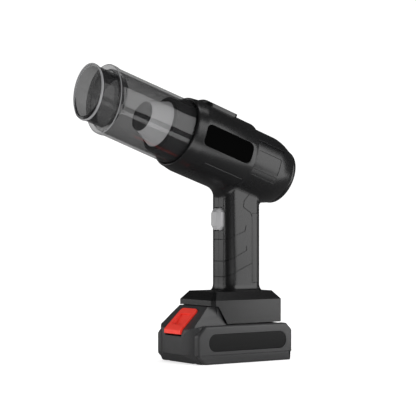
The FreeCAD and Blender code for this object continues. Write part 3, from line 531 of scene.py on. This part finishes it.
def smoked_clear(name, clearest, densest, index):
    """Smoky clear plastic: a share of the light passes each surface, less of it where it is seen edge on."""
    material = surface(name, (0.012, 0.012, 0.0125), 0.045, tone=0.05, drift=0.015, grain=300.0,
                       depth=0.0005, IOR=index)
    nodes, links = material.node_tree.nodes, material.node_tree.links
    edge_on = nodes.new("ShaderNodeLayerWeight")
    edge_on.inputs["Blend"].default_value = 0.35
    veil = nodes.new("ShaderNodeMapRange")
    for label, value in (("From Min", 0.15), ("From Max", 0.95), ("To Min", clearest), ("To Max", densest)):
        veil.inputs[label].default_value = value
    links.new(edge_on.outputs["Facing"], veil.inputs["Value"])
    rays = nodes.new("ShaderNodeLightPath")
    lit = nodes.new("ShaderNodeMath")
    lit.operation = "MAXIMUM"
    links.new(rays.outputs["Is Shadow Ray"], lit.inputs[0])
    links.new(rays.outputs["Is Diffuse Ray"], lit.inputs[1])
    passing = nodes.new("ShaderNodeMath")
    passing.operation = "MULTIPLY_ADD"
    passing.inputs[1].default_value = -0.75
    passing.inputs[2].default_value = 1.0
    links.new(lit.outputs[0], passing.inputs[0])
    density = nodes.new("ShaderNodeMath")
    density.operation = "MULTIPLY"
    links.new(veil.outputs["Result"], density.inputs[0])
    links.new(passing.outputs[0], density.inputs[1])
    links.new(density.outputs[0], nodes["Principled BSDF"].inputs["Alpha"])
    return material


clear_smoke = smoked_clear("clear_smoke", 0.46, 0.62, 1.7)
clear_collar = smoked_clear("clear_collar", 0.62, 0.72, 1.35)
# Opaque light grey for the lip and shoulder rings: a painted highlight standing in for the light caught on the
# smoky plastic's edges.
painted_edge_highlight = surface("painted_edge_highlight", (0.2, 0.2, 0.205), 0.2, depth=0.004)

FINISHES = {
    "satin_black": satin_black, "gloss_black": gloss_black, "inlay_black": inlay_gloss,
    "rubber_black": rubber, "duct_black": duct_black, "dome_grey": dome_grey, "screw_steel": dark_steel,
    "core_steel": dark_steel, "copper": copper, "bearing_steel": steel, "spring_steel": steel,
    "cone_silver": cone_silver, "red_wire": red_wire, "black_wire": black_wire,
    "impeller_alu": impeller_alu, "clear_smoke": clear_smoke, "button_grey": button_grey,
    "button_dark": button_dark, "board_green": board_green, "brass_contact": brass,
    "battery_black": pack_black, "inlay_dark": inlay_dark, "cell_wrap": cell_wrap, "nickel": nickel,
    "latch_red": latch_red,
}
for row in frame["record"]["subparts"]:
    node = frame["nodes"][row["node"]]
    node.data.materials.clear()
    node.data.materials.append(FINISHES[row["material_slot"]])


# ---------------------------------------------------------------- housing, grip and sleeve

def drop(low_down, high_down, low, high, half):
    return box_mesh("drop", (low_down, -half, low), (high_down, half, high), TO_BARREL)


def grip_wrap(outside, inside, low, high, front):
    """The handle's skin between two depths, from its back to a front edge, as the rubber fills it."""
    ring = combine(handle_prism(outside, low, high + 2), "DIFFERENCE", handle_prism(inside, 70, 160))
    return combine(ring, "INTERSECT", box_mesh("reach", (-40, -30, low), (front, 30, high)))


def housing_pieces():
    """The two halves of the barrel and handle, and the rubber at the handle's back."""
    barrel = lathe("barrel", [(HOUSING_R, 50), (HOUSING_R, -38), (35.4, -42), (34.6, -46.4), (33.2, -51.2),
                              (31.4, -56), (30.0, -59.4), (29.5, -60)], solid=True)
    cradle_plan = mirrored([(28.6, -1.5), (28.6, 46), (25, 47.9), (21, 49.5), (16.9, 50.7), (9, 51.9),
                            (0, 52.4)])
    cradle = combine(lathe("cradle", [(SLEEVE_R, -3), (SLEEVE_R, 60)], solid=True), "INTERSECT",
                     mesh_of("cradle_block", [(down, *corner) for down in (15, 45) for corner in cradle_plan],
                             prism_faces(len(cradle_plan)), TO_BARREL))
    form = combine(barrel, "UNION", handle_outside(), cradle)
    hollow = lathe("hollow", [(BEZEL_BORE, -62), (BEZEL_BORE, -54), (32.4, -43), (HOUSING_BORE, -39),
                              (HOUSING_BORE, 50.2), (TUBE_SEAT, 50.3), (TUBE_SEAT, 62)], solid=True)
    form = combine(
        form, "DIFFERENCE", hollow, handle_prism(HANDLE_WALL, 74, 178),
        prism("trigger_window", octagon(10.2, 131.9, 156.1, 3.8, 4.5), "YZ", 5, 25),
        prism("button_window", rounded(rectangle(-7.6, 7.6, 123.9, 146.6), 3.4), "YZ", -45, -22))
    for side in (1, -1):
        form = combine(form, "DIFFERENCE",
                       band_block(side, -8.4, 9.6, -39.0, -9.0, 1.4, 35.2),
                       band_block(side, -19.6, -16.4, -43.0, -7.0, 0.8, 34.6),
                       band_block(side, 11.4, 17.2, -40.0, -7.6, 1.0, 35.3))
    for path in ([(-15, 98.9), (2.2, 91.8), (14.2, 85.5), (26, 80.2)],
                 [(-7.9, 116.1), (-7.9, 112), (5.7, 105.7), (26, 95.6)],
                 [(-7.4, 137.4), (-5.9, 131.7), (5.2, 127.6), (26, 118.2)],
                 [(-14.6, 147), (-13, 150.5), (-3.9, 156.2), (-4.9, 162.7), (-12, 170.1)]):
        form = combine(form, "DIFFERENCE", *groove_line(path, 0.55, 0.5))
    skin = grip_wrap(-0.02, GRIP_DEPTH, GRIP_LOW, GRIP_HIGH, -15)
    form = combine(form, "DIFFERENCE",
                   grip_wrap(-4, GRIP_DEPTH - 0.05, GRIP_LOW - 0.1, GRIP_HIGH + 0.1, -14.8))
    screw_sinks = [prism("sink", ring_points(2.8, *spot), "XZ", -30, -14.8) for spot in HOUSING_SCREWS]
    form = combine(form, "DIFFERENCE", *screw_sinks[1:])
    for word, low, high in (("left", 0.06, 60), ("right", -60, -0.06)):
        half = combine(form.copy(), "INTERSECT", box_mesh("half", (-90, low, 60), (110, high, 270)))
        finish_mesh(f"{word}_housing_shell", half, "housing", satin_black, [f"{word}_housing"])
    notches = []
    for z in GRIP_NOTCHES:
        wedge = [(-34, z + 1.2), (-27.9, z - 0.6), (-27.9, z - 1.6), (-34, z - 1.8)]
        notches.append(prism("notch", wedge, "XZ", -30, 30))
    window = prism("grip_window", rounded(rectangle(-7.7, 7.7, 123.8, 146.7), 3.4), "YZ", -45, -22)
    skin = combine(skin, "DIFFERENCE", window, screw_sinks[0].copy(), *notches)
    finish_mesh("rear_grip_skin", skin, "housing", rubber, ["rear_grip"])


def sleeve_pieces():
    """The front sleeve with its side inlays and its top pad."""
    sleeve = lathe("sleeve", [
        (35.85, SLEEVE_REAR), (37.7, SLEEVE_REAR), (38.2, -5.8), (SLEEVE_R, -5.2), (SLEEVE_R, 57.6),
        (38.35, 59.4), (38.0, 61.4), (37.1, 67.2), (36.8, 69.4), (36.5, 70.4), (36.0, 70.9),
        (35.3, SLEEVE_LIP), (34.5, 70.8), (34.2, 70.4), (34.2, 67.0), (TUBE_SEAT, 66.0), (TUBE_SEAT, 52.6),
        (35.85, 51.4)])
    opening = mirrored([(29.0, -1.9), (29.0, 46.2), (25.2, 48.4), (21.1, 50.0), (17, 51.2), (9, 52.4),
                        (0, 52.9)])
    cut_out = mesh_of("cut_out", [(down, *corner) for down in (15, 45) for corner in opening],
                      prism_faces(len(opening)), TO_BARREL)
    rear, front, half = PANEL
    sleeve = combine(sleeve, "DIFFERENCE", cut_out, drop(20, 45, -8, 0, 20.5),
                     *[band_block(side, -half - 0.4, half + 0.4, rear - 0.4, front + 0.4, 5.9, 37.3)
                       for side in (1, -1)],
                     top_block(0.35, 37.8, 45))
    finish_mesh("front_sleeve_shell", sleeve, "housing", satin_black, ["front_sleeve"])
    for side, word in ((1, "left"), (-1, "right")):
        panel = band_block(side, -half, half, rear, front, 5.5, 37.4, 38.15)
        finish_mesh(f"{word}_side_panel_face", panel, "housing", inlay_gloss,
                    [f"{word}_side_panel"], bevel=0.35)
    pad = combine(top_block(0, 37.85, 41.5), "DIFFERENCE", *[
        box_mesh("pad_line", (-50, side * 11.2 - 0.35, 18), (-41.0 + 1.35, side * 11.2 + 0.35, 49), TO_BARREL)
        for side in (1, -1)])
    finish_mesh("top_panel_pad", pad, "housing", satin_black, ["top_panel"],
                bevel=0.7, segments=3)


def top_block(grow, floor, top):
    """The top panel's outline between two distances from the axis."""
    low, high, half = PAD
    block = [(down, *corner) for down in (-50, -18)
             for corner in rounded(rectangle(-half - grow, half + grow, low - grow, high + grow), 6)]
    tool = mesh_of("pad_block", block, prism_faces(len(block) // 2), TO_BARREL)
    return combine(tool, "INTERSECT", lathe("pad_band", [(top, 5), (top, 62), (floor, 62), (floor, 5)]))


def intake_pieces():
    """The bezel ring round the intake dome."""
    bezel = lathe("bezel", [
        (27.2, -54.5), (27.8, -54.5), (27.8, -60.2), (29.4, -60.2), (29.6, -60.8), (29.3, -62.2),
        (28.9, -63.6), (28.4, -64.5), (28.0, -64.9), (27.5, -64.6), (27.2, -64.0)])
    finish_mesh("rear_bezel_ring", bezel, "housing", satin_black, ["rear_bezel"])


# ---------------------------------------------------------------- controls

def trigger_piece():
    """The faceted push trigger, with the flange that keeps it in the handle."""
    face = octagon(8.2, 132.9, 155.1, 3.2, 4.3)
    cap = stacked("trigger_cap", [
        (face, 8.8), (face, 17.4), (inset(face, 3.2), 20.9), (inset(face, 3.6), 21.2)], "YZ")
    flange = box_mesh("flange", (8.6, -11, 130.9), (10.4, 11, 157.1))
    finish_mesh("trigger_button_body", combine(cap, "UNION", flange), "trigger", button_grey,
                ["trigger_button"], bevel=0.35, segments=3)


def rear_button_piece():
    """The ribbed button at the handle's back."""
    face = rounded(rectangle(-7, 7, 124.5, 146), 3)
    cap = plate("button_cap", face, "YZ", -25.6, -31.35, 1.3)
    ribs = [prism("rib", [(-33, z - 0.5), (-30.7, z), (-33, z + 0.5)], "XZ", -4.5, 4.5)
            for z in (130, 133, 136, 139)]
    cap = combine(cap, "DIFFERENCE", *ribs)
    flange = box_mesh("flange", (-26.1, -8.2, 123.3), (-24.8, 8.2, 147.2))
    finish_mesh("rear_button_body", combine(cap, "UNION", flange), "rear_control", button_dark,
                ["rear_button"])


# ---------------------------------------------------------------- foot

def foot_piece():
    """The foot under the handle, with the rails that hold the battery."""
    form = stacked("foot_form", [
        (octagon(half, -width, width, corner, corner), z) for half, width, corner, z in
        ((43.9, 31.3, 3.7, 38), (43.9, 31.3, 3.7, 62.4), (36.6, 24.0, 2.4, 70.8))], "XY")
    side = [(-50, 39), (26.3, 39), (35.6, 54.6), (37.4, 56.4), (38.6, 56.8), (50, 56.8), (50, 75), (-50, 75)]
    form = combine(form, "INTERSECT", prism("foot_side", side, "XZ", -40, 40))
    form = combine(form, "DIFFERENCE",
                   box_mesh("neck_space", (-40.9, -28.3, 30), (60, 28.3, 57.1)),
                   box_mesh("loft", (-38.9, -21, 50), (34, 21, 67.6)),
                   prism("wires", ring_points(5, -7, 0), "XY", 60, 80),
                   *[prism("screw_way", ring_points(1.5, *spot), "XY", 60, 80) for spot in FOOT_SCREWS])
    rails = [box_mesh("rail", (-38, low, 41.5), (25, high, 45))
             for low, high in ((24.5, 28.5), (-28.5, -24.5))]
    finish_mesh("foot_housing_shell", combine(form, "UNION", *rails), "housing", satin_black,
                ["foot_housing"], bevel=0.45)


# ---------------------------------------------------------------- battery

def battery_pieces():
    """The battery's two cases and the inlays in its side bezels."""
    core_plan = [(-50.5, -33), (62, -34), (66, -30), (70.7, -19), (70.7, 19), (66, 30), (62, 34), (-50.5, 33)]
    core_side = [(-50.5, 2), (-48.8, 0.3), (60.5, 0.3), (70.7, 9.3), (70.7, 30), (68, 35), (58, 37.4),
                 (54, 37.4), (-44, 37.4), (-50.5, 31)]
    core = combine(prism("core_plan", core_plan, "XY", -1, 39), "INTERSECT",
                   prism("core_side", core_side, "XZ", -45, 45))
    bezel = rounded([(-49.2, 0), (57.5, 0), (65.6, 7.5), (65.6, 28.5), (56.8, 38), (-44, 38), (-51, 31),
                     (-51, 8.6), (-49.2, 8.2)], [0.6, 4, 4, 5, 4, 2.5, 2.5, 0.4, 0.4])
    sides = [plate("bezel", bezel, "XZ", side * 29.5, side * PACK_HALF, 2.2) for side in (1, -1)]
    hump_side = [(27.3, 30), (PACK_FRONT - 0.4, 25), (PACK_FRONT - 0.4, 31), (69, 34), (46, 56.4),
                 (37.4, 56.4), (36.8, 55), (27.3, 38.6)]
    hump_end = mirrored([(30.5, 20), (30.5, 37), (29.0, 41.5), (27.9, 47), (25, 56.6)])
    hump = combine(prism("hump", hump_side, "XZ", -34, 34), "INTERSECT",
                   prism("hump_end", hump_end, "YZ", 20, 80),
                   prism("hump_plan", inset(core_plan, 0.25), "XY", 22, 60))
    neck = [box_mesh("neck_flange", (-17, -28, 45.3), (36.7, 28, 56.6)),
            box_mesh("neck_stem", (-17, -24.2, 30), (36.7, 24.2, 50))]
    form = combine(core, "UNION", *sides, hump, *neck)
    label = rounded(rectangle(-43, 53, 12.5, 30.1), 8.3)
    well = combine(latch_outline(0.3, -14, 6), "DIFFERENCE", prism(
        "well_floor", [(40, 10), (85, 10), (85, 27.5), (58, 27.5), (43.1, 45.5), (40, 45.5)], "XZ", -30, 30))
    halves = (("lower", PACK_SPLIT - 0.12, 90, 0.4), ("upper", -5, PACK_SPLIT + 0.12, 0.5))
    for word, low, high, soft in halves:
        case = combine(form.copy(), "DIFFERENCE", box_mesh("other_case", (-90, -60, low), (110, 60, high)))
        case = combine(
            case, "DIFFERENCE",
            *[prism("label_seat", label, "XZ", *sorted((side * 36.5, side * 40))) for side in (1, -1)],
            box_mesh("cells", (-46, -34.6, 2.3), (60, 34.6, 28.9)))
        if word == "upper":
            case = combine(case, "DIFFERENCE", well,
                           box_mesh("lip_seat", (69.2, -14.75, 27.5), (75, 14.75, 40)),
                           box_mesh("neck_room", (-14.6, -21, 20), (41, 21, 54.2)),
                           *[box_mesh("blade_slot", (-18, row - 1.2, 47), (-14, row + 1.2, 55))
                             for row in (-10.5, -3.5, 3.5, 10.5)])
        else:
            case = combine(case, "DIFFERENCE", *[prism("screw_sink", ring_points(2.9, *spot), "XY", -1, 2.6)
                                                 for spot in PACK_SCREWS])
        finish_mesh(f"battery_{word}_shell", case, "battery", pack_black,
                    [f"battery_{word}_case"], bevel=soft)
    for side, word in ((1, "left"), (-1, "right")):
        face = rounded(rectangle(-42.8, 52.8, 12.7, 29.9), 8.1)
        inlay = plate(f"{word}_inlay_plate", face, "XZ", side * 36.52, side * 37.25, 0.4)
        finish_mesh(f"{word}_inlay_face", inlay, "battery", inlay_dark, [f"{word}_inlay"])


def slope_frame():
    """Set with X up the battery's front slope, Y across it and Z out of it."""
    foot, top = Vector((69.0, 0, 34.0)), Vector((46.0, 0, 56.4))
    up = (top - foot).normalized()
    out = up.cross(Vector((0, 1, 0)))
    if out.x < 0:
        out = -out
    across = out.cross(up)
    turn = Matrix((up, across, out)).transposed().to_4x4()
    return Matrix.Translation(foot) @ turn


def latch_outline(grow, low, high):
    """The latch's outline on the slope, run between two distances from it."""
    face = rounded(rectangle(-12 - grow, 27.4 + grow, -14.3 - grow, 14.3 + grow), [1, 4 + grow, 4 + grow, 1])
    return prism("latch_outline", face, "XY", low, high, slope_frame())


def latch_piece():
    """The red latch: a sloping button with a thumb dip and a lip over the battery's front."""
    side = [(47.2, 50.5), (60, 37), (68.6, 33.2), (69.3, 29.5), (72.1, 29.5), (72.1, 33.4), (71.2, 34.6),
            (48.0, 56.3), (46.6, 56.8), (45.2, 55.6), (44.6, 53.2)]
    body = combine(prism("latch_body", side, "XZ", -14.3, 14.3), "INTERSECT", latch_outline(0, -14, 6))
    dip_rings = [(rectangle(7.4, 19.6, -8.2, 8.2), -3.0), (rectangle(3.6, 21.4, -10.2, 10.2), 2.6)]
    dip = stacked("dip", dip_rings, "XY", slope_frame() @ Matrix.Rotation(math.radians(-7), 4, "Y"))
    finish_mesh("release_latch_body", combine(body, "DIFFERENCE", dip), "latch", latch_red,
                ["release_latch"], bevel=0.7, segments=3)


# ---------------------------------------------------------------- screws

def screw(head, shank, place, seat, tip, name):
    """A cross-headed screw along the place's own Z, from its head's seat to its tip."""
    depth = tip - seat
    profile = [(0.01, 0), (head - 0.5, 0), (head - 0.15, 0.15), (head, 0.5), (head, 1.7), (shank, 1.7)]
    for turn in range(int((depth - 2.2) / 0.9)):
        start = 2.0 + turn * 0.9
        profile += [(shank - 0.25, start), (shank, start + 0.3)]
    profile += [(shank - 0.3, depth - 0.4), (0.01, depth)]
    body = lathe(name, [(radius, height + seat) for radius, height in profile], 20, place)
    cross = [box_mesh("cross", (-long, -wide, seat - 1), (long, wide, seat + 1.0), place)
             for long, wide in ((1.7, 0.35), (0.35, 1.7))]
    return combine(body, "DIFFERENCE", *cross)


def screw_pieces():
    """The three sets of screws, each set as one piece."""
    upright, sideways = Matrix.Identity(4), Matrix.Rotation(math.radians(-90), 4, "X")
    sets = [("housing_screws", "housing", sideways, HOUSING_SCREWS, -16.5, 11.8),
            ("battery_screws", "battery", upright, PACK_SCREWS, 0.85, 16.8),
            ("foot_screws", "housing", upright, FOOT_SCREWS, 65.7, 76.4)]
    for name, body, turn, spots, seat, tip in sets:
        made = []
        for spot in spots:
            shift = (spot[0], 0, spot[1]) if name == "housing_screws" else (spot[0], spot[1], 0)
            made.append(screw(SCREW_HEAD, SCREW_SHANK, Matrix.Translation(shift) @ turn, seat, tip, name))
        finish_mesh(f"{name}_set", joined(name, *made), body, dark_steel, [name])


# ---------------------------------------------------------------- nozzle

def nozzle_pieces():
    """The smoky tube and its outlet collar, with the lip and the tube's shoulder as light grey rings that paint a
    highlight on those edges.
    """
    tube = lathe("nozzle_tube_body", [
        (TUBE_R, TUBE_REAR), (33.4, 92), (32.7, 153.6, 1), (32.9, 154.4, 1), (33.5, 154.9, 1),
        (33.6, 156.2, 1), (33.5, 159.2, 1), (33.0, 159.9, 1), (32.2, TUBE_FRONT, 1), (27.9, TUBE_FRONT, 1),
        (27.4, 159.6, 1),
        (27.4, 157.9, 1), (27.9, 157.5, 1), (29.3, 157.4, 1), (30.1, 156.4, 1), (30.3, 154, 1), (31.0, 92),
        (31.6, TUBE_REAR + 0.6), (32.2, TUBE_REAR)])
    finish_mesh("nozzle_tube_shell", tube, "nozzle", clear_smoke, ["nozzle_tube"], sharp=40)
    collar = lathe("outlet_collar_body", [
        (COLLAR_R, 150), (COLLAR_R, 175.6), (COLLAR_R, 176.2, 1), (26.9, 176.6, 1), (27.4, 176.8, 1),
        (27.5, 177.0, 1), (25.2, 177.0, 1), (24.9, 176.9, 1), (COLLAR_BORE, 176.4), (COLLAR_BORE, 175.8),
        (COLLAR_BORE + 0.2, 150)])
    finish_mesh("outlet_collar_shell", collar, "nozzle", clear_collar, ["outlet_collar"],
                sharp=40)
    # The mouth's lip ring in the light grey: a painted highlight on the outlet's rim.
    lip = lathe("outlet_lip_ring", [
        (27.3, 177.0, 1), (27.5, 177.4, 1), (27.5, 178.3, 1), (27.3, 178.8, 1), (26.8, MOUTH, 1),
        (26.4, MOUTH, 1), (26.1, 178.7, 1), (26.1, 177.0, 1)])
    finish_mesh("outlet_lip_edge", lip, "nozzle", painted_edge_highlight)
    # The shoulder ring in the light grey: a painted highlight on the tube's front step.
    shoulder = lathe("tube_shoulder_ring", [
        (32.6, 159.95, 1), (33.0, 159.75, 1), (33.3, 159.4, 1), (33.45, 159.5, 1), (33.1, 160.0, 1),
        (32.7, 160.2, 1)])
    finish_mesh("nozzle_shoulder_edge", shoulder, "nozzle", painted_edge_highlight)


nozzle_pieces()
housing_pieces()
sleeve_pieces()
intake_pieces()
trigger_piece()
rear_button_piece()
foot_piece()
battery_pieces()
latch_piece()
screw_pieces()


# ---------------------------------------------------------------- stage, lights, camera

def emitter(name, centre, aim, width, height, strength):
    """A white area lamp aimed at a point."""
    data = bpy.data.lights.new(name, "AREA")
    data.shape = "RECTANGLE"
    data.size, data.size_y = width, height
    data.energy = strength * width * height * math.pi
    lamp = bpy.data.objects.new(name, data)
    bpy.context.scene.collection.objects.link(lamp)
    lamp.location = centre
    lamp.rotation_euler = (Vector(aim) - Vector(centre)).to_track_quat("-Z", "Y").to_euler()
    return lamp


def panel(name, centre, aim, width, height, strength):
    """A glowing softbox face that shows in reflections only."""
    mesh = bpy.data.meshes.new(name)
    mesh.from_pydata([(-width / 2, -height / 2, 0), (width / 2, -height / 2, 0), (width / 2, height / 2, 0),
                      (-width / 2, height / 2, 0)], [], [(0, 1, 2, 3)])
    glow = bpy.data.materials.new(name + "_glow")
    glow.use_nodes = True
    shader = glow.node_tree.nodes["Principled BSDF"]
    shader.inputs["Base Color"].default_value = (0, 0, 0, 1)
    shader.inputs["Roughness"].default_value = 1.0
    shader.inputs["Specular IOR Level"].default_value = 0.0
    shader.inputs["Emission Color"].default_value = (1, 1, 1, 1)
    shader.inputs["Emission Strength"].default_value = strength
    mesh.materials.append(glow)
    face = bpy.data.objects.new(name, mesh)
    bpy.context.scene.collection.objects.link(face)
    face.location = centre
    face.rotation_euler = (Vector(aim) - Vector(centre)).to_track_quat("Z", "Y").to_euler()
    face.visible_camera = False
    face.visible_shadow = False
    face.visible_transmission = False
    return face


def flag(name, centre, along, across, length, width):
    """A black strip between the object and a softbox, seen in reflections only."""
    along, across = Vector(along).normalized(), Vector(across).normalized()
    centre = Vector(centre)
    corners = [centre + along * (a * length / 2) + across * (b * width / 2)
               for a, b in ((-1, -1), (1, -1), (1, 1), (-1, 1))]
    mesh = bpy.data.meshes.new(name)
    mesh.from_pydata([tuple(corner) for corner in corners], [], [(0, 1, 2, 3)])
    black = bpy.data.materials.new(name + "_cloth")
    black.use_nodes = True
    shader = black.node_tree.nodes["Principled BSDF"]
    shader.inputs["Base Color"].default_value = (0, 0, 0, 1)
    shader.inputs["Specular IOR Level"].default_value = 0.0
    mesh.materials.append(black)
    cloth = bpy.data.objects.new(name, mesh)
    bpy.context.scene.collection.objects.link(cloth)
    for ray in ("camera", "diffuse", "shadow", "transmission"):
        setattr(cloth, "visible_" + ray, False)
    return cloth


def studio():
    """The pale floor, the backdrop, the softboxes and the key lamp."""
    floor_mesh = bpy.data.meshes.new("floor")
    floor_mesh.from_pydata([(-6, -6, 0), (6, -6, 0), (6, 6, 0), (-6, 6, 0)], [], [(0, 1, 2, 3)])
    floor = bpy.data.objects.new("floor", floor_mesh)
    floor.location.z = cad_low.z - 0.0002
    bpy.context.scene.collection.objects.link(floor)
    paint = bpy.data.materials.new("floor_paint")
    paint.use_nodes = True
    shader = paint.node_tree.nodes["Principled BSDF"]
    shader.inputs["Roughness"].default_value = 0.9
    shader.inputs["Emission Color"].default_value = (1, 1, 1, 1)
    rays = paint.node_tree.nodes.new("ShaderNodeLightPath")
    for socket, plain, mirrored in (("Emission Strength", 0.62, 0.0), ("Base Color", 0.9, 0.12)):
        tone = paint.node_tree.nodes.new("ShaderNodeMapRange")
        tone.inputs["To Min"].default_value = plain
        tone.inputs["To Max"].default_value = mirrored
        paint.node_tree.links.new(rays.outputs["Is Glossy Ray"], tone.inputs["Value"])
        paint.node_tree.links.new(tone.outputs["Result"], shader.inputs[socket])
    floor_mesh.materials.append(paint)
    world = bpy.data.worlds.new("studio")
    bpy.context.scene.world = world
    world.use_nodes = True
    nodes, links = world.node_tree.nodes, world.node_tree.links
    backdrop = nodes["Background"]
    backdrop.inputs["Color"].default_value = (1, 1, 1, 1)
    rays = nodes.new("ShaderNodeLightPath")
    level = nodes.new("ShaderNodeMapRange")
    level.inputs["To Min"].default_value = 0.6
    level.inputs["To Max"].default_value = 1.1
    links.new(rays.outputs["Is Camera Ray"], level.inputs["Value"])
    mirror = nodes.new("ShaderNodeMapRange")
    mirror.inputs["To Max"].default_value = 0.04
    links.new(rays.outputs["Is Glossy Ray"], mirror.inputs["Value"])
    links.new(level.outputs["Result"], mirror.inputs["To Min"])
    links.new(mirror.outputs["Result"], backdrop.inputs["Strength"])
    middle = Vector((0.02, 0, 0.18))
    tube_mid = TO_BARREL @ Vector((0, 0, 128)) * MM
    panel("side_bank", middle + Vector((-0.62, 0.79, 0.03)) * 1.1, middle, 0.95, 1.5, 2.6)
    panel("low_bank", (-0.35, 0.72, 0.004), (-0.35, 0.72, 1), 1.6, 0.9, 2.4)
    panel("front_bank", middle + Vector((0.62, -0.78, 0.02)) * 1.3, middle, 0.5, 1.3, 1.7)
    panel("top_bank", (-0.5, 0.1, 1.3), middle, 0.35, 0.5, 2.0)
    panel("front_strip", (1.35, -0.5, 0.25), middle, 0.16, 1.2, 5.0)
    key = emitter("key", (-0.5, 1.2, 1.2), middle, 0.8, 0.8, 1.6)
    key.visible_glossy = False
    away = Vector((0.075, 0.972, -0.221))
    flag("centre_flag", tube_mid + Vector((-0.445, 0.82, -0.36)).normalized() * 0.42,
         air_way, away.cross(air_way), 0.3, 0.1)


def shoot():
    """The camera that the main view is taken with."""
    lens = bpy.data.cameras.new("camera")
    lens.sensor_width = 36.0
    lens.lens = 121.15
    lens.clip_start, lens.clip_end = 0.05, 20
    camera = bpy.data.objects.new("camera", lens)
    bpy.context.scene.collection.objects.link(camera)
    camera.location = (0.8421, 1.169, 0.1377)
    yaw, pitch = math.radians(34.845), math.radians(-0.87)
    look = Vector((-math.sin(yaw) * math.cos(pitch), -math.cos(yaw) * math.cos(pitch), -math.sin(pitch)))
    camera.rotation_euler = look.to_track_quat("-Z", "Y").to_euler()
    bpy.context.scene.camera = camera


studio()
shoot()
bpy.context.scene.view_settings.view_transform = "Standard"
